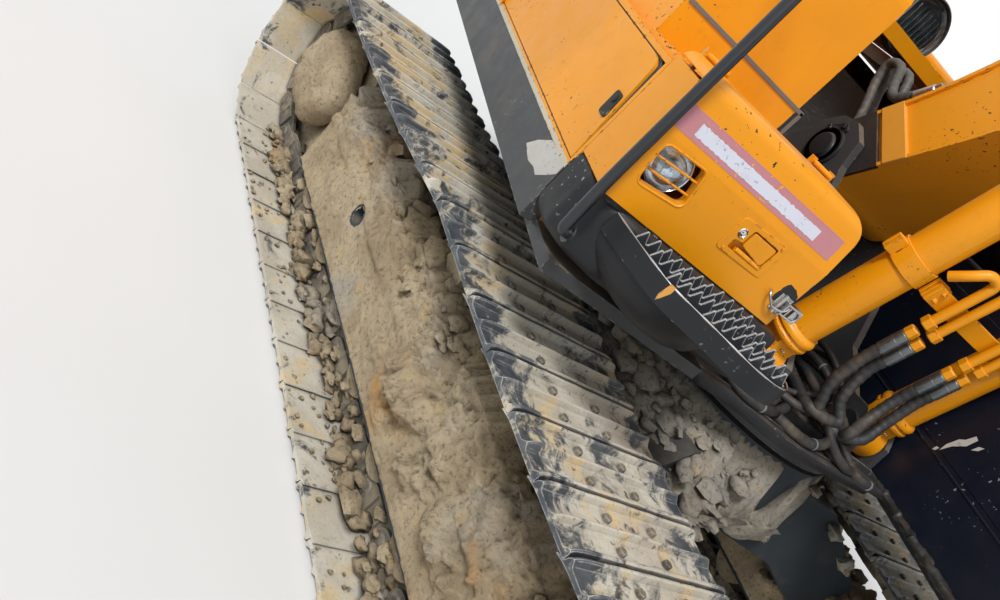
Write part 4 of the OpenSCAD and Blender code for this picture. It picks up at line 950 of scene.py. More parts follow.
# Work lamp behind its window
def make_lamp():
    c = (685, -1147, 1378)
    b = Build()
    b.lathe(c, (1, 0, 0), [(30, -6), (56, 6), (61, 30), (62, 44), (58, 47), (55, 44), (50, 30), (30, 12),
                           (8, 8)], 40)
    b.box((690, -1220, 1366), (708, -1200, 1390))
    housing = b.done("lamp_housing", chrome, UPPER, "lamp_glass", smooth=50)
    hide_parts("work_lamp")
    b = Build()
    b.lathe(c, (1, 0, 0), [(56, 40), (56, 43), (40, 50), (20, 54), (3, 55), (3, 51), (20, 50), (40, 46)], 40)
    b.done("lamp_lens", lens, UPPER, "lamp_glass", smooth=60)
    b = Build()
    b.lathe(c, (1, 0, 0), [(9, 8), (9, 26), (5, 33), (1, 34)], 16)
    b.done("lamp_bulb", zinc, UPPER, "lamp_glass", smooth=50)
    b = Build()
    b.box((640, -1232, 1300), (646, -1060, 1440))
    b.done("lamp_back", plastic, UPPER, "black_plastic")


make_lamp()


def make_roof_lamp():
    """A round lamp let into the roof's front edge."""
    x, y, z = c = (-742, 84, 2178)
    b = Build()
    b.lathe(c, (1, 0, 0), [(112, -40), (128, -30), (132, -10), (132, 14), (127, 20), (121, 16), (120, -4)],
            48)
    b.done("roof_lamp_rim", plastic, UPPER, "black_plastic", smooth=50)
    b = Build()
    b.lathe(c, (1, 0, 0), [(30, -34), (92, -20), (118, 2), (119, 6), (114, 8), (88, -12), (28, -26)], 48)
    for k in range(9):
        b.box((x + 8, y - 97.5 + k * 24, z - 66), (x + 16, y - 94.5 + k * 24, z + 66))
    b.done("roof_lamp_reflector", chrome, UPPER, "lamp_glass", smooth=60)
    b = Build()
    b.lathe(c, (1, 0, 0), [(119, 6), (119, 10), (86, 17), (40, 21), (3, 22), (3, 19), (40, 18), (86, 14)], 48)
    b.done("roof_lamp_lens", lens, UPPER, "lamp_glass", smooth=60)


make_roof_lamp()


# Step: black block under the toolbox, a pod in front of it and a tray with toothed strips
TRAY = [(775, -1186), (890, -1137), (975, -1085), (1012, -1010), (1046, -935), (1083, -860), (1090, -779),
        (1060, -715), (989, -698), (860, -720), (775, -742)]
POD = [(775, -1182), (886, -1132), (966, -1082), (988, -1000), (980, -925), (950, -865), (900, -815),
       (840, -775), (775, -755)]


def shrink(outline, share, center=(775, -960)):
    return [(center[0] + (x - center[0]) * share, center[1] + (y - center[1]) * share) for x, y in outline]


def make_step():
    b = Build()
    plan = round_corners([(556, -SIDE, 0), (676, -SIDE, 60), (752, -SIDE + 32, 90), (800, -1120, 90),
                          (800, -590, 14), (556, -590, 0)], 6)
    rows = []
    for z, inset in ((1074, 26), (1082, 10), (1098, 2), (1120, 0), (1222, 0), (1240, 3), (1247, 12)):
        rows.append([(max(556, x - inset), y + inset * (1 if y < -900 else -1) * 0.6, z) for x, y in plan])
    b.bridge(rows)
    b.box((760, -1238, 1240), (768, -640, 1258))
    block = b.done("step_block", black_clean, UPPER, "dark_paint", smooth=50)
    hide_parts("front_step")
    b = Build()
    rows = []
    for z, share in ((1196, 1.0), (1176, 0.985), (1150, 0.94), (1120, 0.84), (1096, 0.68), (1082, 0.46)):
        rows.append([(x, y, z + 10 * noise.noise(Vector((x, y, z)) * 0.006)) for x, y in shrink(POD, share)])
    b.bridge(rows)
    b.done("step_pod", black_clean, UPPER, "dark_paint", smooth=60)
    b = Build()
    b.prism(TRAY, 1216, 1222, "z")
    outer = flow(TRAY, 4)
    inner = flow(shrink(TRAY, 0.975, (900, -930)), 4)
    b.prism([tuple(p) for p in outer + inner[::-1]], 1184, 1238, "z")
    b.done("step_tray", black_clean, UPPER, "dark_paint", bevel=1.5, segments=2, smooth=40)
    # Bright metal strip along the tray's top edge, a painted highlight of its black bent edge; and the rubbed
    # corner, where boots and crates have taken the paint off
    b = Build()
    b.tube([(p.x, p.y, 1238) for p in flow(shrink(TRAY, 0.987, (900, -930)), 4)],
           lambda s: 2.1 + 0.9 * math.sin(s * 61), 6)
    b.done("step_tray_painted_highlight", zinc, UPPER, "bright_steel", smooth=70)
    b = Build()
    worn = [(973, -1086, 1240), (981, -1073, 1240), (981, -1074, 1224), (976, -1082, 1199),
            (974, -1086, 1190), (971, -1090, 1206)]
    b.bridge([[(x - 3, y + 3, z) for x, y, z in worn], [(x + 1.5, y - 1.5, z) for x, y, z in worn]])
    b.done("step_rub", rub_orange, UPPER, "dark_paint", bevel=0.8)
    b = Build()
    rng = random.Random(12)
    for x, y0, y1 in ((838, -1146, -728), (894, -1124, -716), (950, -1090, -706), (1006, -996, -706),
                      (1054, -896, -728)):
        teeth = max(3, round((y1 - y0) / 38))
        w = (y1 - y0) / teeth
        outline = [(y0, 1214)]
        for i in range(teeth):
            a = y0 + w * i
            top = 1265 + rng.uniform(-3, 1)
            outline += [(a, 1239), (a + w * 0.36, top), (a + w * 0.5, top), (a + w * 0.84, 1239)]
        outline += [(y1, 1238), (y1, 1214)]
        b.prism(outline, x - 2.6, x + 2.6, "x")
    b.done("step_teeth", step_steel, UPPER, "dark_paint", bevel=1, segments=1)


make_step()


# Nose of the deck in front of the cylinder feet, over the swing ring
def make_nose():
    plan = round_corners([(545, -632, 0), (640, -604, 30), (679, -543, 40), (664, -373, 120),
                          (694, -240, 60), (699, -150, 60),
                          (690, 17, 80), (646, 222, 90), (606, 403, 30), (545, 410, 0)], 5)
    b = Build()
    rows = []
    for z, inset in ((972, 16), (978, 6), (1000, 3), (1010, 4), (1014, 12)):
        rows.append([(x - inset * (x > 546), y, z + 3 * noise.noise(Vector((x, y, 0)) * 0.01) * (z > 990))
                     for x, y in plan])
    b.bridge(rows)
    b.done("deck_nose", black, UPPER, "dark_paint", smooth=55)
    b = Build()
    b.tube([(x - 34, y, 1015) for x, y in plan if x > 600], 5, 8)
    b.done("deck_nose_weld", black, UPPER, "dark_paint", smooth=70)


make_nose()


def make_handrail():
    """A bent tube from the base to the tank's top."""
    b = Build()
    b.tube(bent([(798, -1245, 1137), (798, -1267, 1137), (786, -1267, 1290), (778, -1267, 2030),
                 (640, -1238, 2134),
                 (300, -1180, 2134), (212, -1165, 2118), (205, -1162, 2068)], 60, 8), 14.6, 14)
    b.lathe((798, -1250, 1137), (0, 1, 0), [(24, 0), (24, 5)], 20)
    b.lathe((205, -1162, 2068), (0, 0, 1), [(28, 0), (28, 8)], 20)
    handrail = b.done("handrail_tube", rail_black, UPPER, "black_paint", smooth=50)
    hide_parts("handrails")


make_handrail()


# Side of the house: cream strip, seals, plates and louvres
def make_side():
    b = Build()
    b.box((-1775, -SIDE - 1.4, 1187), (556, -SIDE + 2, 1202))
    b.box((-1775, SIDE - 2, 1187), (-500, SIDE + 1.4, 1202))
    b.done("cream_strips", cream, UPPER, "dark_paint", bevel=0.6, segments=1)
    b = Build()
    patch = [(302, 1112), (338, 1148), (400, 1184), (462, 1196), (534, 1198), (550, 1186), (552, 1160),
             (520, 1136), (471, 1104), (430, 1108), (380, 1099), (340, 1104)]
    b.prism([(x + 7 * noise.noise(Vector((x, z, 1)) * 0.05), z) for x, z in patch], -SIDE - 0.8, -SIDE + 1)
    b.done("skirt_patch", scuffed, UPPER, "dark_paint")
    # Rubber seal in the gap round the side door
    b = Build()
    gap = bent([(-664, -1238, 1212), (548, -1238, 1212), (528, -1238, 1521), (-664, -1238, 1521)], 30, 4)
    b.tube(gap, 5.5, 8, closed=True)
    b.done("side_door_seal", trim_rubber, UPPER, "black_plastic")
    b = Build()
    b.prism(round_corners([(470, 1330, 10), (520, 1330, 10), (514, 1400, 10), (470, 1400, 10)]), -SIDE - 3,
            -SIDE + 1, "y")
    b.lathe((494, -SIDE - 3, 1380), (0, -1, 0), [(11, 0), (11, 2), (8, 4)], 24)
    b.done("side_door_latch", black_clean, "side_door_right", "black_plastic", bevel=1.5)
    # Louvre blades of the rear doors, and their latches
    for side, body in ((-1, "pump_door_right"), (1, "radiator_door_left")):
        b = Build()
        for i in range(8):
            z = 1374 + 45 * i
            y0, y1 = side * (SIDE - 24), side * (SIDE + 7)
            b.prism([(y0, z), (y0, z + 3), (y1, z - 16), (y1, z - 19)], -1655, -1345, "x")
        b.done("louvres_" + body, orange, body, "orange_paint", bevel=1, segments=1)
        b = Build()
        x = -790 if side < 0 else -590
        b.prism(round_corners([(x - 30, 1600, 8), (x + 30, 1600, 8), (x + 30, 1680, 8), (x - 30, 1680, 8)]),
                side * SIDE, side * (SIDE + 4), "y")
        b.lathe((x, side * (SIDE + 4), 1655), (0, side, 0), [(11, 0), (11, 2), (8, 4)], 24)
        b.done("latch_" + body, black_clean, body, "black_plastic", bevel=1.5)


make_side()


# Tanks: filler, step plate, straps
def make_tanks():
    b = Build()
    b.lathe((60, -1080, 2068), (0, 0, 1), [(66, 0), (66, 12), (58, 16), (58, 44), (62, 46), (62, 62),
                                           (52, 68)], 36)
    for a in around(12):
        x, y = 60 + 58 * math.cos(a), -1080 + 58 * math.sin(a)
        b.box((x - 5, y - 5, 2114), (x + 5, y + 5, 2130))
    b.lathe((-550, -1000, 2068), (0, 0, 1), [(80, 0), (80, 10), (70, 14), (70, 40), (60, 44)], 36)
    b.done("tank_caps", black_clean, UPPER, "black_paint", bevel=1.5)
    spots = [(-550 + 72 * math.cos(a), -1000 + 72 * math.sin(a), 2079)
             for a in (0.5, 1.6, 2.6, 3.7, 4.7, 5.8)]
    bolts("tank_bolts", spots, (0, 0, 1), 7, UPPER)
    # Anti-slip plate on the box in front of the tank, with its metal border
    b = Build()
    b.box((303, -1232, 1536), (552, -738, 1546))
    for i in range(11):
        for k in range(20):
            x, y = 324 + i * 21, -1220 + k * 24.5 + (12 if i % 2 else 0)
            b.lathe((x, y, 1545), (0, 0, 1), [(5.5, 0), (4, 4), (1.5, 5)], 8)
    b.done("step_plate", orange_dusty, UPPER, "orange_paint")
    b = Build()
    b.box((545, -1236, 1536), (556, -732, 1552))
    b.box((300, -740, 1536), (556, -728, 1552))
    b.done("step_plate_edge", zinc, UPPER, "bright_steel", bevel=2)
    b = Build()
    b.box((299, -1196, 1650), (304, -706, 1662))
    b.box((299, -718, 1546), (304, -706, 1660))
    b.done("tank_front_strip", seam_grey, UPPER, "dark_paint", bevel=1)


make_tanks()


# Boom: box of side plates between wider top and bottom plates, cast ends
BOOM_LINE = [(0, 0, 115), (500, 182, 140), (1300, 585, 235), (2050, 855, 300), (2600, 880, 300),
             (3300, 690, 262), (4300, 310, 200), (5000, 30, 125)]


def boom_edges(inset=0.0, steps=7):
    """Upper and lower edge of the boom in its own frame, as smooth lines."""
    def side(sign):
        pts = []
        for i, (x, z, h) in enumerate(BOOM_LINE):
            a, c = BOOM_LINE[max(0, i - 1)], BOOM_LINE[min(len(BOOM_LINE) - 1, i + 1)]
            n = Vector((-(c[1] - a[1]), c[0] - a[0])).normalized()
            pts.append(Vector((x, z)) + n * sign * (h - inset))
        return flow(pts, steps)
    return side(1), side(-1)


def strip_along(b, line, depth, y0, y1, first=0, last=None):
    """A plate that follows a line in the boom's plane, depth towards the right of its run."""
    line = line[first:last]
    rows = []
    for i, p in enumerate(line):
        a, c = line[max(0, i - 1)], line[min(len(line) - 1, i + 1)]
        n = Vector((-(c.y - a.y), c.x - a.x)).normalized()
        q = p - n * depth
        rows.append([(p.x, y0, p.y), (p.x, y1, p.y), (q.x, y1, q.y), (q.x, y0, q.y)])
    b.bridge(rows)


def make_boom():
    high, low = boom_edges()
    b = Build(in_boom)
    strip_along(b, high, 14, -200, 200)
    strip_along(b, low, -14, -200, 200)
    in_high, in_low = boom_edges(9)
    outline = [(p.x, p.y) for p in in_high] + [(p.x, p.y) for p in in_low[::-1]]
    for y0, y1 in ((-188, -174), (174, 188)):
        b.prism(outline, y0, y1)
    b.lathe((0, -200, 0), (0, 1, 0), [(119, 0), (119, 400)], 48)
    b.lathe((5100, -200, 0), (0, 1, 0), [(131, 0), (131, 400)], 48)
    b.lathe((2039.2, -240, 950.9), (0, 1, 0), [(70, 0), (74, 6), (74, 474), (70, 480)], 40)
    boom = b.done("boom_beam", boom_orange)
    bore = knife(lambda b: b.lathe((0, -300, 0), (0, 1, 0), [(45.5, 0), (45.5, 600)], 32), in_boom)
    fork = knife(lambda b: b.box((4600, -145, -420), (5320, 145, 520)), in_boom)
    carve(boom, [bore, fork], overlaps=True)
    repaint(boom, boom_orange)
    finish(boom, "boom", 2.2, 2, 40)
    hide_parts("boom")
    # Foot: boss painted near-black, a painted shade of the gap behind the foot bracket; then a cast block
    # with a rough end and a seam
    up, down = boom_edges(-1, 30)

    def between(first, last, low_first, low_last):
        return ([tuple(p) for p in up if first <= p.x < last]
                + [tuple(p) for p in down[::-1] if low_first <= p.x < low_last])

    for name, outline, thick, material in (("boom_foot_boss", between(-90, 116, -90, 226), 200.6, shade_black),
                                           ("boom_foot_casting", between(112, 208, 224, 312), 203,
                                            foot_orange)):
        b = Build(in_boom)
        for y0, y1 in ((-thick, -185), (185, thick)):
            b.prism(outline, y0, y1)
            if name == "boom_foot_boss":
                b.lathe((0, y0, 0), (0, 1, 0), [(120, 0), (120, y1 - y0)], 40)
        b.done(name, material, "boom", "orange_paint", bevel=3, segments=3)
    b = Build(in_boom)
    for y0, y1 in ((-193, -186), (186, 193)):
        b.prism(round_corners([(560, 262, 26), (1290, 655, 60), (1560, 600, 60), (1180, 420, 40)], 6), y0, y1)
        b.prism(round_corners([(1700, 1000, 60), (2400, 1010, 60), (2500, 760, 60), (1760, 700, 60)], 6),
                y0, y1)
    b.done("boom_doublers", boom_orange, "boom", "orange_paint", bevel=4, segments=3)
    # Ears of the arm cylinder, pipe clamps, pins and their keepers
    b = Build(in_boom)
    ear = round_corners([(2720, 1110, 0), (2870, 1310, 30), (2950, 1350, 40), (3030, 1310, 30),
                         (3150, 1000, 0), (2720, 1060, 0)])
    for y0, y1, washer in ((-112, -82, -118), (82, 112, 112)):
        b.prism(ear, y0, y1)
        b.lathe((2950, washer, 1270), (0, 1, 0), [(52, 0), (52, 6)], 32)
    b.lathe((2950, -117, 1270), (0, 1, 0), [(40, 0), (40, 234)], 32)
    b.done("arm_ram_ears", orange, "boom", "orange_paint", bevel=5)
    b = Build(in_boom)
    b.lathe((5100, -209, 0), (0, 1, 0), [(45, 0), (45, 418)], 32)
    b.lathe((5100, -207, 0), (0, 1, 0), [(75, 0), (75, 6)], 36)
    b.lathe((5100, 201, 0), (0, 1, 0), [(75, 0), (75, 6)], 36)
    b.done("boom_tip_pin", zinc, "boom", "bright_steel", bevel=2)
    # Four oil pipes on the boom's back, with clamps
    line = boom_edges(-24)[0]
    b = Build(in_boom)
    for y in (-166, -121, 121, 166):
        b.tube([(p.x, y, p.y) for p in line if 640 < p.x < 2640], 13.5, 12)
    b.done("boom_pipes", orange, "boom", "orange_paint", smooth=60)
    b = Build(in_boom)
    for x in (760, 1250, 1800, 2330):
        i = min(range(len(line)), key=lambda k: abs(line[k].x - x))
        t = (line[i + 1] - line[i - 1]).normalized()
        up = Vector((-t.y, t.x))
        block = [tuple(line[i] + t * a + up * c) for a, c in ((-20, -25), (20, -25), (20, 15), (-20, 15))]
        for y0, y1 in ((-189, -98), (98, 189)):
            b.prism(block, y0, y1)
    b.done("boom_pipe_clamps", black_clean, "boom", "black_paint", bevel=2)


make_boom()


def make_foot():
    """Bracket of the boom foot: pin head, keeper and bolts."""
    b = Build()
    for s in (-1, 1):
        b.lathe((FOOT[0], s * 234, FOOT[1]), (0, s, 0),
                [(78, 0), (78, 10), (70, 13), (50, 13), (46, 18), (46, 23), (40, 25)], 40)
        b.prism(round_corners([(-215, 1690, 12), (-150, 1745, 12), (-110, 1725, 12), (-175, 1665, 12)]),
                *sorted((s * 234, s * 244)))
    b.done("foot_pin_heads", black, UPPER, "dark_paint", bevel=2)
    bolts("foot_pin_bolts", [(-190, -244, 1695), (-140, -244, 1727)], (0, -1, 0), 11, UPPER, black_clean)


make_foot()

# Boom cylinders: collars, clamps, cross bracket and oil pipes, drawn along the cylinder from its base pin
RAM = (465, 1107)
RAM_TILT = math.radians(77.42)
RAM_Y = 290
CLAMP_X, BRACKET_X = (505, 1240), 505
PIPE_Z = 98
# The two pipes' ends beside the bracket: across, union, ferrule
PIPE_ENDS = [(150, 432, 376), (92, 417, 361)]


def in_ram(x, y, z):
    """x along the cylinder from the base pin, z towards the machine's front."""
    c, s = math.cos(RAM_TILT), math.sin(RAM_TILT)
    return upper(RAM[0] + x * c + z * s, y, RAM[1] + x * s - z * c)


def make_boom_rams():
    b = Build(in_ram)
    for s in (-1, 1):
        y = s * RAM_Y
        b.lathe((96, y, 0), (1, 0, 0), [(58, 0), (72, 5), (76, 12), (76, 19), (70, 24), (69, 30), (76, 34),
                                        (77, 44), (73, 52), (66, 56), (63, 60)], 48)
        b.lathe((1345, y, 0), (1, 0, 0), [(63, 0), (75, 4), (75, 88), (70, 93), (50, 95)], 48)
    b.done("boom_ram_collars", orange, "boom_barrels", "orange_paint", smooth=50)
    # Clamp bands with bolted ears, and the flat bracket that joins both cylinders
    b = Build(in_ram)
    for s in (-1, 1):
        y = s * RAM_Y
        for x in CLAMP_X:
            b.bridge([[(x + dx, y + r * math.sin(a), r * math.cos(a))
                       for dx, r in ((-32, 69.5), (32, 69.5), (32, 63.2), (-32, 63.2))]
                       for a in around(48)], closed=True)
            for half, near, far, heights in ((32, -62, -118, (40, 54)), (28, 60, 104, (-20, -6))):
                low, high = sorted((y + s * near, y + s * far))
                for z in heights:
                    b.box((x - half, low, z), (x + half, high, z + 12))
    b.done("boom_ram_clamps", orange, "boom_barrels", "orange_paint", bevel=2.5)
    b = Build(in_ram)
    x, y = BRACKET_X, RAM_Y - 62
    b.prism([(x - 30, -y), (x + 30, -y), (x + 30, y), (x - 30, y)], 67, 79, "z")
    b.done("boom_ram_bracket", orange, "boom_barrels", "orange_paint", bevel=2.5)
    spots = [(x + dx, s * (RAM_Y - 92), 79) for s in (-1, 1) for dx in (-15, 15)]
    bolts("boom_ram_bolts", spots, (math.sin(RAM_TILT), 0, -math.cos(RAM_TILT)), 9.5, "boom_barrels",
          orange, place=in_ram)
    # Two oil pipes a side: a hook at the collar, then up the barrel
    b = Build(in_ram)
    for s in (-1, 1):
        inner = [(430, 150, 98), (560, 150, 98), (640, 152, 98), (650, 190, 92), (600, 225, 82),
                 (560, 236, 60)]
        outer = [(415, 92, 98), (700, 92, 100), (1400, 215, 96), (1420, 236, 60)]
        for line, radius in ((inner, 70), (outer, 80)):
            b.tube(bent([(x, s * y, z) for x, y, z in line], radius, 8), 15, 16)
    b.done("boom_ram_pipes", orange, "boom_barrels", "orange_paint", smooth=60)
    ends = [(s * y, union, sleeve) for s in (-1, 1) for y, union, sleeve in PIPE_ENDS]
    b = Build(in_ram)
    for y, x, _ in ends:
        b.lathe((x, y, PIPE_Z), (-1, 0, 0), [(23, -26), (23, 0), (19, 3)], 6)
        b.lathe((x - 27, y, PIPE_Z), (-1, 0, 0), [(17, -4), (20, 0), (20, 26), (16, 28)], 6)
    b.done("boom_ram_unions", orange, "boom_barrels", "orange_paint", bevel=1.5, segments=1)
    b = Build(in_ram)
    for y, _, x in ends:
        b.lathe((x, y, PIPE_Z), (-1, 0, 0), [(14, -4), (20, 0), (20, 78), (18, 84)], 20)
        b.lathe((x - 30, y, PIPE_Z), (-1, 0, 0), [(20.8, 0), (20.8, 4)], 20)
    b.done("hose_ferrules", ferrule, "boom_barrels", "bright_steel", bevel=1, segments=1, smooth=50)
    # Grease nipples and pin heads
    b = Build(in_ram)
    for s in (-1, 1):
        for side in (-1, 1):
            b.lathe((0, s * RAM_Y + side * 76, 0), (0, side, 0), [(40, 0), (40, 9), (36, 12)], 32)
    b.done("boom_ram_base_pins", black, UPPER, "dark_paint")
    b = Build(in_ram)
    for s in (-1, 1):
        b.lathe((70, s * RAM_Y, 44), (0.3, 0, 1), [(5, 0), (5, 10), (3, 12), (3.4, 17), (1.5, 19)], 10)
    b.done("grease_nipples", zinc, "boom_barrels", "bright_steel")
    # Weld lug and chipped pad beside each collar
    b = Build(in_ram)
    for s in (-1, 1):
        lug = [(70, 62), (150, 70), (150, 86), (110, 92), (58, 80)]
        b.prism([(x, s * (RAM_Y - y)) for x, y in lug], -14, 18, "z")
    b.done("boom_ram_lugs", orange_dusty, "boom_barrels", "orange_paint", bevel=4)


make_boom_rams()


def hose(name, points, radius, body=None, rings=0, material=hose_rubber):
    """A rubber hose with a wrapped guard: its skin swells a little at each turn of the wrap."""
    line = flow(points, 9)
    b = Build()
    if rings:
        length = sum((q - p).length for p, q in zip(line, line[1:]))
        count = max(2, int(length / 7))
        dense = []
        run = 0.0
        for p, q in zip(line, line[1:]):
            d = (q - p).length
            while len(dense) <= count and length * len(dense) / count <= run + d + 1e-6:
                dense.append(p.lerp(q, (length * len(dense) / count - run) / d))
            run += d

        def swell(t):
            return radius * (1 + 0.10 * (0.5 + 0.5 * math.sin(t * length / rings * 2 * math.pi)))

        b.tube(dense, swell, 14)
    else:
        b.tube(line, radius, 14)
    return b.done(name, material, body, "black_plastic", smooth=70)


def joined(piece):
    """A hose that runs from one body to another."""
    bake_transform(piece)


def make_hoses():
    # From the hose ends on the bracket, down and back to the middle of the deck
    for s in (-1, 1):
        for n, (y, x) in enumerate(((150, 292), (92, 277))):
            pts = [back(in_ram(x + 20, s * y, PIPE_Z)), back(in_ram(x - 60, s * y, PIPE_Z + 2)),
                   back(in_ram(x - 165, s * (y - 4 - 14 * n), 122 + 10 * n)),
                   (628 + 22 * n, s * (y - 34 - 20 * n), 1122 + 10 * n),
                   (600 + 20 * n, s * (70 + 20 * n) - 40, 1088 + 20 * n),
                   (500, s * (60 + 26 * n) - 30, 1080 + 26 * n),
                   (380, s * (56 + 34 * n) - 10, 1084 + 26 * n), (180, s * (50 + 48 * n), 1078),
                   (20, s * (44 + 48 * n), 1076)]
            piece = hose("ram_hose_%s_%d" % (LABEL[s], n), pts, 17.5, None, 26)
            joined(piece)
    # Loops round the cylinder feet, low enough for the cylinders to pass over them
    loops = []
    for s in (-1, 1):
        loops += [
            ([(430, s * 475, 1062), (520, s * 470, 1060), (598, s * 440, 1036), (648, s * 370, 1029),
              (654, s * 290, 1029),
              (628, s * 214, 1031), (580, s * 150, 1060), (480, s * 100, 1076), (340, s * 66, 1080),
              (150, s * 30, 1078)], 15, 22),
            ([(420, s * 452, 1092), (505, s * 445, 1082), (572, s * 418, 1062), (612, s * 366, 1030),
              (618, s * 300, 1028),
              (600, s * 224, 1032), (548, s * 176, 1064), (450, s * 150, 1092), (300, s * 130, 1090),
              (120, s * 110, 1078)], 13, 19),
        ]
    loops += [
        ([(640, -206, 1030), (668, -130, 1030), (664, -40, 1034), (620, 40, 1058), (520, 60, 1094),
          (360, 50, 1106), (150, 20, 1082)], 16, 24),
        ([(636, 208, 1030), (650, 150, 1032), (640, 76, 1050), (590, 10, 1092), (480, -30, 1130),
          (340, -30, 1126), (150, -50, 1082)], 15, 22),
        ([(560, -196, 1070), (600, -150, 1082), (612, -80, 1104), (570, -10, 1136), (470, 30, 1166),
          (330, 30, 1150), (150, 60, 1084)], 14, 0),
        ([(540, 190, 1070), (585, 150, 1086), (590, 90, 1112), (540, 20, 1150), (430, -20, 1182),
          (300, -60, 1158), (150, -90, 1084)], 13, 20),
        ([(520, -180, 1064), (562, -130, 1106), (560, -70, 1152), (500, -10, 1196), (380, 10, 1206),
          (260, 10, 1140), (130, -10, 1084)], 11, 0),
        ([(500, 170, 1064), (540, 110, 1102), (528, 50, 1158), (450, 0, 1214), (330, -20, 1216),
          (220, -30, 1140), (120, -60, 1084)], 11, 0),
    ]
    for n, (pts, r, rings) in enumerate(loops):
        hose("deck_hose_%d" % n, pts, r, UPPER, rings)
    b = Build()
    for n, at in ((0, 4), (1, 3), (2, 4), (3, 5), (4, 2), (4, 4), (5, 3), (6, 3), (7, 4), (8, 3)):
        pts, r, rings = loops[n]
        here, ahead = Vector(pts[at]), Vector(pts[at + 1]) - Vector(pts[at - 1])
        b.lathe(here, ahead, [(r, -3), (r + 2.6, -2), (r + 2.6, 3), (r, 4)], 18)
    b.done("cable_ties", tie_grey, UPPER, "black_plastic")
    # Along the boom's back from the bay: grey hoses with fittings
    for n, y in enumerate((-150, -96, 96, 150)):
        pts = [(-300, y * 0.6, 1560), (-292, y * 0.7, 1760), (-372, y * 0.85, 1915 - 16 * (n % 2)),
               (-372, y * 0.95, 1985), (-300, y, 1990), (-250, y, 1930), (-196, y, 1908),
               back(in_boom(236, y, 262))]
        piece = hose("boom_hose_%d" % n, pts, 16, None, 30, hose_grey)
        joined(piece)
    b = Build(in_boom)
    for y in (-150, -96, 96, 150):
        b.lathe((240, y, 263), (1, 0, 0.3), [(18, -60), (22, -56), (22, 14), (18, 18)], 16)
        b.lathe((240, y, 263), (1, 0, 0.3), [(20, 18), (20, 42)], 6)
        b.tube(bent([(278, y, 274), (330, y, 292), (430, y, 292), (560, y, 322), (645, y * 1.08, 352)], 50,
                    5), 13, 12)
    b.done("boom_hose_ends", zinc, "boom", "bright_steel", bevel=1, segments=1)


make_hoses()


# Cab: weld groove, foot trim, seals, wipers, inside fittings
CAB_REAR, CAB_FRONT, CAB_Y0, CAB_TOP = -480, 1250, 375, 2890
SILL_Z, SLOPE_Z = 1650, 1880


def front_x(z):
    """The cab's bent front: upright, a short curve, then leaning back."""
    if z < SILL_Z:
        return CAB_FRONT
    if z > SLOPE_Z:
        return CAB_FRONT - (z - 1750) * 240 / 1140
    t = (z - SILL_Z) / 230
    return CAB_FRONT - 27.4 * t * t


def seal(name, corners, axis, at, body):
    b = Build()
    spot = "xyz".index(axis)
    b.tube([(*p[:spot], at, *p[spot:]) for p in round_corners(corners, 8)], 11, 8, closed=True)
    b.done(name, trim_rubber, body, "black_plastic", smooth=70)


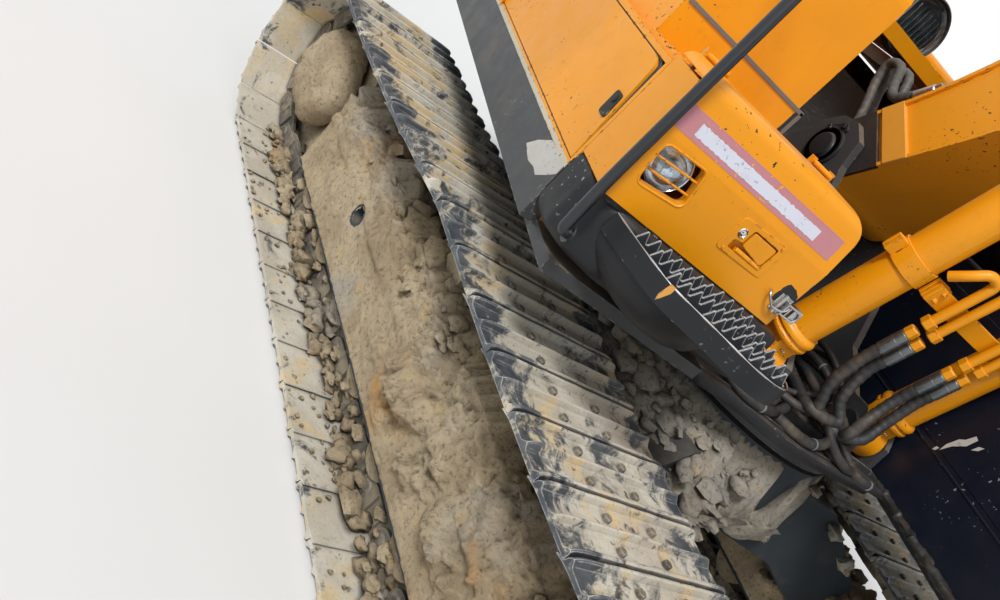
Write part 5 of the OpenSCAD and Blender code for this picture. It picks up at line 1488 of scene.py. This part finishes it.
def make_cab():
    b = Build()
    # Fold line along the right wall, and the raised edge of its lower panel
    b.prism([(-440, 1238), (1180, 1238), (1180, 1246), (-440, 1246)], CAB_Y0 - 3.5, CAB_Y0 + 3)
    b.prism(round_corners([(-430, 1262, 20), (1196, 1262, 30), (1200, 1640, 60), (-430, 1640, 30)], 6),
            CAB_Y0 - 2.5, CAB_Y0 + 3)
    b.done("cab_wall_panels", navy, UPPER, "cab_paint", bevel=2.4, segments=3)
    b = Build()
    for outline in ([(636, 1262), (652, 1300), (680, 1334), (687, 1372), (672, 1376), (660, 1344),
                     (646, 1330), (634, 1290)],
                    [(700, 1338), (716, 1352), (722, 1372), (706, 1362)],
                    [(618, 1246), (626, 1250), (630, 1266), (620, 1262)]):
        b.prism(outline, CAB_Y0 - 3.1, CAB_Y0 + 1)
    b.done("cab_scuff", scuffed, UPPER, "cab_paint")
    # Crumpled foam strip under the cab's edge
    b = Build()
    rows = []
    for i in range(151):
        x = 620 + 4 * i
        w = 17 + 9 * fbm((x, 0, 0), 0.021, 3, 2.0)
        h = 15 + 7 * fbm((x, 0, 0), 0.033, 3, 6.0)
        lean = 9 * math.sin(x * 0.075) + 7 * fbm((x, 0, 0), 0.03, 2, 9.0)
        rows.append([(x + lean * math.cos(a), CAB_Y0 - 8 + w * math.cos(a),
                      1040 + h * math.sin(a) + 3 * math.sin(a * 3 + x * 0.06)) for a in around(14)])
    b.bridge(rows)
    b.done("cab_foot_trim", trim_rubber, UPPER, "black_plastic", smooth=60)
    seal("seal_right", [(-390, 1720, 40), (-390, 2740, 60), (960, 2740, 60), (1110, 1900, 40),
                        (1110, 1720, 40)],
         "y", CAB_Y0 + 6, UPPER)
    seal("seal_left_rear", [(-390, 1800, 40), (-390, 2740, 60), (260, 2740, 40), (260, 1800, 40)], "y",
         SIDE - 6, UPPER)
    seal("seal_rear", [(465, 1800, 40), (465, 2740, 40), (1155, 2740, 40), (1155, 1800, 40)], "x",
         CAB_REAR + 6, UPPER)
    seal("seal_door", [(390, 1700, 40), (390, 2740, 40), (930, 2740, 40), (1100, 1900, 40), (1100, 1700, 40)],
         "y", SIDE - 6, "cab_door")
    # Windscreen seal and wiper follow the bent front
    b = Build()
    ring = round_corners([(445, 1330, 40), (445, 2740, 40), (1175, 2740, 40), (1175, 1330, 40)], 8)
    dense = []
    for (y0, z0), (y1, z1) in zip(ring, ring[1:] + ring[:1]):
        k = max(1, int(math.hypot(y1 - y0, z1 - z0) / 60))
        dense += [(y0 + (y1 - y0) * i / k, z0 + (z1 - z0) * i / k) for i in range(k)]
    b.tube([(front_x(z) - 7, y, z) for y, z in dense], 11, 8, closed=True)
    b.done("seal_front", trim_rubber, UPPER, "black_plastic", smooth=70)
    b = Build()
    b.lathe((1249, 560, 1292), (1, 0, 0), [(26, -8), (26, 8), (16, 14), (10, 16)], 24)
    b.tube([(1258, 560, 1292), (1262, 575, 1330), (1256, 640, 1760), (1226, 690, 1990)], 7, 10)
    line = [(front_x(z) + 4, 690 + (z - 1600) * 0.02, z) for z in range(1600, 2381, 60)]
    b.tube(line, 6, 8)
    b.done("wiper", plastic, UPPER, "black_plastic", smooth=50)
    # Grab rail, door handle, roof hatch
    b = Build()
    b.tube([(1100, SIDE, 1420)] +
           bent([(1205, SIDE - 3, 1430), (1205, SIDE + 34, 1430), (1205, SIDE + 34, 2050),
                 (1180, SIDE - 3, 2050)], 34, 6), 11, 12)
    b.done("cab_grab_rail", rail_black, UPPER, "black_paint", smooth=60)
    b = Build()
    b.prism(round_corners([(1010, 1420, 12), (1130, 1420, 12), (1130, 1500, 12), (1010, 1500, 12)]),
            SIDE - 1, SIDE + 5)
    b.prism(round_corners([(1025, 1445, 8), (1115, 1445, 8), (1115, 1478, 8), (1025, 1478, 8)]), SIDE + 4,
            SIDE + 16)
    b.done("door_handle", plastic, "cab_door", "black_plastic", bevel=3)
    b = Build()
    b.prism(round_corners([(90, 545, 30), (710, 545, 30), (710, 1075, 30), (90, 1075, 30)], 6),
            CAB_TOP - 20, CAB_TOP - 0.5, "z")
    b.done("roof_hatch", navy, UPPER, "cab_paint", bevel=6)
    # Inside: seat with cushions, armrests, consoles, levers, pedals, display
    b = Build()
    b.prism(round_corners([(-40, 1500, 40), (470, 1500, 50), (476, 1625, 55), (-40, 1613, 40)], 7), 575, 1045)
    b.prism(round_corners([(-30, 1610, 40), (85, 1600, 40), (-20, 2200, 60), (-150, 2190, 60)], 7), 585, 1035)
    b.prism(round_corners([(-175, 2230, 40), (-55, 2235, 40), (-62, 2420, 50), (-175, 2410, 50)], 7), 680,
            940)
    cushions = b.done("seat_cushions", seat_cloth, UPPER, "black_plastic", bevel=26, segments=5, smooth=60)
    b = Build()
    for s in (-1, 1):
        y = 810 + s * 300
        b.prism(round_corners([(-40, 1640, 30), (470, 1640, 40), (500, 1745, 40), (430, 1770, 20),
                               (-40, 1740, 30)], 6), y - 55, y + 55)
        b.prism([(120, 1120), (330, 1120), (300, 1645), (150, 1645)], y - 40, y + 40)
        b.lathe((430, y, 1765), (0.15, 0, 1),
                [(34, -8), (30, 6), (12, 26), (9, 110), (17, 130), (24, 190), (21, 228), (10, 240)], 20)
    b.prism(round_corners([(900, 1110, 10), (930, 1110, 10), (925, 1420, 20), (840, 1640, 30),
                           (815, 1625, 10)], 4), 1020, 1090)
    b.prism(round_corners([(835, 1620, 12), (900, 1650, 20), (870, 1850, 20), (835, 1850, 12)], 4), 950, 1130)
    for y in (690, 820):
        b.prism([(880, 1125), (1010, 1155), (1015, 1168), (878, 1140)], y, y + 90)
        b.tube([(930, y + 45, 1130), (900, y + 45, 1300), (905, y + 45, 1420)], 9, 10)
        b.lathe((905, y + 45, 1412), (0, 0, 1), [(14, 0), (20, 10), (20, 34), (10, 44)], 16)
    b.done("cab_inside_fittings", plastic, UPPER, "black_plastic", bevel=6, segments=3)
    b = Build()
    for k in range(9):
        b.box((560 + k * 48, 430, 1104), (580 + k * 48, 1190, 1110))
    b.done("floor_mat_ribs", trim_rubber, UPPER, "black_plastic")


make_cab()


# Black bay round the boom foot: edges, pins and the deck's front lip
def make_deck():
    b = Build()
    for s in (-1, 1):
        b.lathe((RAM[0], s * 365, RAM[1]), (0, s, 0), [(64, 0), (64, 9), (58, 12)], 36)
        b.lathe((RAM[0], s * 214, RAM[1]), (0, s, 0), [(64, 0), (64, 9), (58, 12)][::-1], 36)
    b.done("ram_pin_bosses", black, UPPER, "dark_paint", bevel=1.5)
    bolts("ram_pin_bolts", [(RAM[0] + 34 * math.cos(a), -377, RAM[1] + 34 * math.sin(a))
                            for a in (0.6, 2.2, 3.8, 5.4)],
          (0, -1, 0), 8, UPPER, black_clean)
    # Ribbed deck plates between the boom brackets and the toolbox
    b = Build()
    for k in range(9):
        x = -560 + k * 120
        b.box((x, -600, 1044), (x + 8, -400, 1049))
    b.done("deck_ribs", black, UPPER, "dark_paint")


make_deck()


# Clay on the centre frame and its legs: heaps that lean on the drum under the swing ring and fill the corners
LEG_FOOT, LEG_END, LEG_HALF, DRUM_R = (417, 117), (574, 983), 165, 590


def ease(value):
    value = min(1.0, max(0.0, value))
    return value * value * (3 - 2 * value)


def bed(side, x, y):
    """How far inside the clay a place is, and the clay's underside and top there."""
    r = math.hypot(x, y)
    low = fbm((x, y, side * 90), 0.0052, 4, 11.0)
    lump = fbm((x, y, side * 90), 0.013, 4, 2.5)
    crumb = fbm((x, y, side * 90), 0.042, 4, 4.0)
    inside, top, beside, shy = -200.0, 0.0, 400.0, 0.0
    for front in (-1, 1):
        a = Vector((front * LEG_FOOT[0], side * LEG_FOOT[1]))
        c = Vector((front * LEG_END[0], side * LEG_END[1]))
        run = (c - a).normalized()
        rel = Vector((x, y)) - a
        wide = rel.x * run.y - rel.y * run.x
        if front > 0 and side > 0:
            shy = ease((wide + 90) / 60) * ease((y - 80) / 120)
        reach = 110 if front > 0 and side < 0 else 20 - 400 * shy
        off = abs(wide) - LEG_HALF
        beside = min(beside, off)
        inside = max(inside, reach + 60 * lump - off)
        heap = 34 + 70 * low + 26 * lump
        top = max(top, 652 + heap - max(0.0, off) * 0.35)
    turn = math.degrees(math.atan2(y * side, x))
    high = ease((turn - 10) / 24) * (1 - 0.5 * ease((turn - 95) / 40))
    inside = max(inside, (90 + 150 * high) * (1 - 0.8 * shy) + 50 * lump - (r - DRUM_R), 60 - (r - DRUM_R))
    slope = 0.7 * min(130, r - DRUM_R) + 0.95 * max(0.0, r - DRUM_R - 130)
    top = max(top, 722 + 165 * high - slope + 30 * low + 24 * lump,
              892 - 3.0 * max(0.0, r - DRUM_R) + 30 * lump)
    inner = abs(y) - 640
    if inner > 0:
        top = min(top, 800 - inner * 1.1)
    if abs(y) > 690:
        top = min(top, 655)
    floor = 590 + 130 * ease(beside / 110)
    return inside, floor, min(top + 11 * crumb, 895, 640 if abs(y) > 760 else 895)


def clay_bed(side):
    b = Build(under)
    step, x0, y0, nx, ny = 11, -860, 70, 168, 71
    high, low, thick = {}, {}, {}
    for i in range(nx + 1):
        for k in range(ny + 1):
            x, y = x0 + i * step, side * (y0 + k * step)
            inside, floor, top = bed(side, x, y)
            thick[i, k] = math.sqrt(ease(inside / 90))
            high[i, k] = (x, y, floor + max(4.0, top - floor) * thick[i, k])
            low[i, k] = (x, y, floor - 45 * thick[i, k])
    top_verts, low_verts = {}, {}
    for i in range(nx):
        for k in range(ny):
            ring = [(i, k), (i + 1, k), (i + 1, k + 1), (i, k + 1)]
            if all(thick[q] <= 0 for q in ring):
                continue
            for q in ring:
                if q not in top_verts:
                    top_verts[q] = b.points([high[q]])[0]
                    low_verts[q] = top_verts[q] if thick[q] <= 0 else b.points([low[q]])[0]
            b.face([top_verts[q] for q in ring])
            b.face([low_verts[q] for q in ring[::-1]])
    # Where the grid ends inside other parts, a wall closes the shape
    edges = [e for e in b.bm.edges if len(e.link_faces) == 1]
    bmesh.ops.holes_fill(b.bm, edges=edges, sides=0)
    bmesh.ops.triangulate(b.bm, faces=[f for f in b.bm.faces if len(f.verts) > 4])
    b.done("clay_bed_" + LABEL[side], clay_grey, LOWER, "dusty_steel", smooth=75)
    rng = random.Random(90 + side)
    lumps = []
    while len(lumps) < 330:
        x, y = rng.uniform(-800, 900), side * rng.uniform(150, 700)
        inside, floor, top = bed(side, x, y)
        if inside < 40 or math.hypot(x, y) < DRUM_R + 20:
            continue
        size = rng.choice((6, 8, 10, 13, 18, 26, 40)) * rng.uniform(0.7, 1.15)
        lumps.append((x, y, min(top - size * 0.1, 880 - size), size))
    # Stones that fell off the deck
    fallen = [(240, 612, 838, 50), (300, 655, 812, 38), (190, 640, 842, 34), (345, 600, 822, 42),
              (120, 650, 836, 40),
              (420, 560, 818, 36), (500, 520, 800, 30), (620, 500, 752, 34), (730, 520, 716, 38),
              (60, 668, 826, 30)]
    lumps += [(x, side * y, z, size) for x, y, z, size in fallen]
    clods("clay_lumps_centre_" + LABEL[side], lumps, clay_grey)


for track_side in (-1, 1):
    clay_bed(track_side)


# Arm, bucket and linkage: pin heads, glands, pipes and hoses
BOOM_TIP = (4083.1, 4489.9)
ARM_ANGLE = math.radians(-94)
ARM_HALF = 140
in_arm = hung(BOOM_TIP, ARM_ANGLE)
ARM_RAM = (1590.5, 4340.5)
in_arm_ram = hung(ARM_RAM, math.radians(14.958))
BUCKET_RAM = (BOOM_TIP[0] + 300 * math.cos(ARM_ANGLE) - 480 * math.sin(ARM_ANGLE),
              BOOM_TIP[1] + 300 * math.sin(ARM_ANGLE) + 480 * math.cos(ARM_ANGLE))
in_bucket_ram = hung(BUCKET_RAM, math.radians(-91.49))


def pin_plates(name, place, spot, half, radius, body, flag=1):
    """Washer, keeper flag and bolt on both ends of a pin."""
    x, z = spot
    b = Build(place)
    for s in (-1, 1):
        b.lathe((x, s * half, z), (0, s, 0), [(radius * 1.45, -1), (radius * 1.45, 5), (radius * 1.38, 7)],
                36)
        b.lathe((x, s * half, z), (0, s, 0), [(radius, 0), (radius, 15), (radius * 0.9, 19),
                                              (radius * 0.3, 19)], 32)
        tip = z + flag * radius * 2.1
        b.prism(round_corners([(x - 14, z, 6), (x + 14, z, 6), (x + 14, tip, 12), (x - 14, tip, 12)]),
                *sorted((s * (half + 6), s * (half + 13))))
    b.done(name, black_clean, body, "dark_paint", bevel=1.2, segments=1)


def ram_details(name, place, radius, body, ports):
    """Port blocks, clamp bands and the pipe that carries oil to the rod end."""
    b = Build(place)
    for x in ports:
        b.box((x - 22, -26, radius - 6), (x + 22, 26, radius + 20))
    near, far = ports
    b.tube(bent([(near, 0, radius + 15), (near + 60, 0, radius + 26), (far - 60, 0, radius + 26),
                 (far, 0, radius + 15)],
                24, 5), 9, 10)
    for k in (0.3, 0.68):
        x = near + (far - near) * k
        b.bridge([[(x + dx, (radius + out) * math.cos(a), (radius + out) * math.sin(a))
                   for dx, out in ((-9, 2.5), (9, 2.5), (9, -1), (-9, -1))] for a in around(36)], closed=True)
        b.box((x - 12, -16, radius), (x + 12, 16, radius + 38))
    b.done(name, orange, body, "orange_paint", bevel=1.5, segments=2, smooth=45)


def make_front():
    ram_details("arm_ram_details", in_arm_ram, 75, "arm_barrel", (230, 1540))
    ram_details("bucket_ram_details", in_bucket_ram, 65, "bucket_barrel", (200, 1250))
    pin_plates("arm_ram_pin_plates", in_boom, (2950, 1270), 118, 38, "boom")
    pin_plates("bucket_ram_pin_plates", in_arm, (300, 480), 108, 36, "arm", -1)
    b = Build(in_arm)
    for s in (-1, 1):
        for plate in ([(-130, -115, 50), (260, -195, 80), (620, -160, 60), (560, 190, 80), (120, 250, 80),
                       (-150, 150, 60)],
                      [(2040, -98, 30), (2180, -94, 30), (2180, 88, 30), (2040, 96, 30)]):
            b.prism(round_corners(plate, 6), *sorted((s * (ARM_HALF - 3), s * (ARM_HALF + 3))))
    b.done("arm_doublers", orange, "arm", "orange_paint", bevel=2, segments=3)
    # Two hoses from the boom's pipes to the arm cylinder, two on to the arm
    last = [q for q in boom_edges(-24)[0] if q.x < 2640][-1]
    for n, s in enumerate((-1, 1)):
        start = in_boom(last.x - 10, s * 121, last.y)
        middle = in_boom(last.x + 110, s * 104, last.y + 40)
        rise = in_arm_ram(90, s * 92, 150)
        port = in_arm_ram(222, s * 20, 98)
        pts = [back(q) for q in (start, middle, rise, in_arm_ram(180, s * 60, 140), port)]
        joined(hose("arm_ram_hose_%d" % n, pts, 13, None, 22))
    b = Build(in_boom)
    tail = [q for q in boom_edges(-20)[0] if q.x > 2600]
    for s in (-1, 1):
        b.tube([(q.x, s * 166, q.y) for q in tail if q.x < 4700], 13, 12)
    for x in (3300, 3900, 4500):
        i = min(range(len(tail)), key=lambda k: abs(tail[k].x - x))
        q = tail[i]
        for s in (-1, 1):
            b.lathe((q.x - 14, s * 166, q.y - 4), (1, 0, -0.4), [(19, 0), (19, 28)], 8)
    b.done("boom_front_pipes", orange, "boom", "orange_paint", smooth=60)
    end = [q for q in tail if q.x < 4700][-1]
    for n, s in enumerate((-1, 1)):
        spots = (in_boom(end.x - 6, s * 166, end.y), in_boom(end.x + 120, s * 176, end.y + 20),
                 in_arm(-40, s * 178, 330), in_arm(120, s * 160, 420), in_arm(250, s * 112, 470))
        pts = [back(q) for q in spots]
        joined(hose("arm_hose_%d" % n, pts, 13, None, 22))
    b = Build(in_boom)
    b.lathe((5100, -215, 0), (0, -1, 0), [(30, 0), (30, 6)], 6)
    b.done("tip_pin_nut", zinc, "boom", "bright_steel", bevel=1)


make_front()


# Stage and light
def make_stage():
    mesh = bpy.data.meshes.new("floor")
    mesh.from_pydata([(-60, -60, 0), (60, -60, 0), (60, 60, 0), (-60, 60, 0)], [], [(0, 1, 2, 3)])
    floor = link(bpy.data.objects.new("floor", mesh))
    k = Look("floor", Roughness=0.9)
    k.set(Base_Color=k.mix(k.noise(0.8, 2), (0.70, 0.69, 0.67), (0.74, 0.73, 0.71)))
    mesh.materials.append(k.mat)
    world = bpy.data.worlds.new("world")
    bpy.context.scene.world = world
    world.use_nodes = True
    nodes, links = world.node_tree.nodes, world.node_tree.links
    sky, plain = nodes["Background"], nodes.new("ShaderNodeBackground")
    for shader, color, strength in ((sky, (0.86, 0.92, 1.0, 1), 0.5), (plain, (1, 1, 1, 1), 1.0)):
        shader.inputs["Color"].default_value = color
        shader.inputs["Strength"].default_value = strength
    ray = nodes.new("ShaderNodeLightPath").outputs
    seen = ray["Is Camera Ray"]
    for kind in ("Is Glossy Ray", "Is Transmission Ray"):
        either = nodes.new("ShaderNodeMath")
        either.operation = "MAXIMUM"
        links.new(seen, either.inputs[0])
        links.new(ray[kind], either.inputs[1])
        seen = either.outputs[0]
    mixer = nodes.new("ShaderNodeMixShader")
    for place, output in enumerate((seen, sky.outputs[0], plain.outputs[0])):
        links.new(output, mixer.inputs[place])
    links.new(mixer.outputs[0], nodes["World Output"].inputs["Surface"])
    for name, strength, angle, aim in (("key", 2.9, 14, (-0.5, 0.55, -0.85)),
                                       ("fill", 0.55, 60, (-0.9, 0.1, -0.5))):
        data = bpy.data.lights.new(name, "SUN")
        data.energy = strength
        data.angle = math.radians(angle)
        lamp = link(bpy.data.objects.new(name, data))
        lamp.rotation_euler = Vector(aim).to_track_quat("-Z", "Y").to_euler()
    bpy.context.scene.view_settings.view_transform = "Standard"


make_stage()
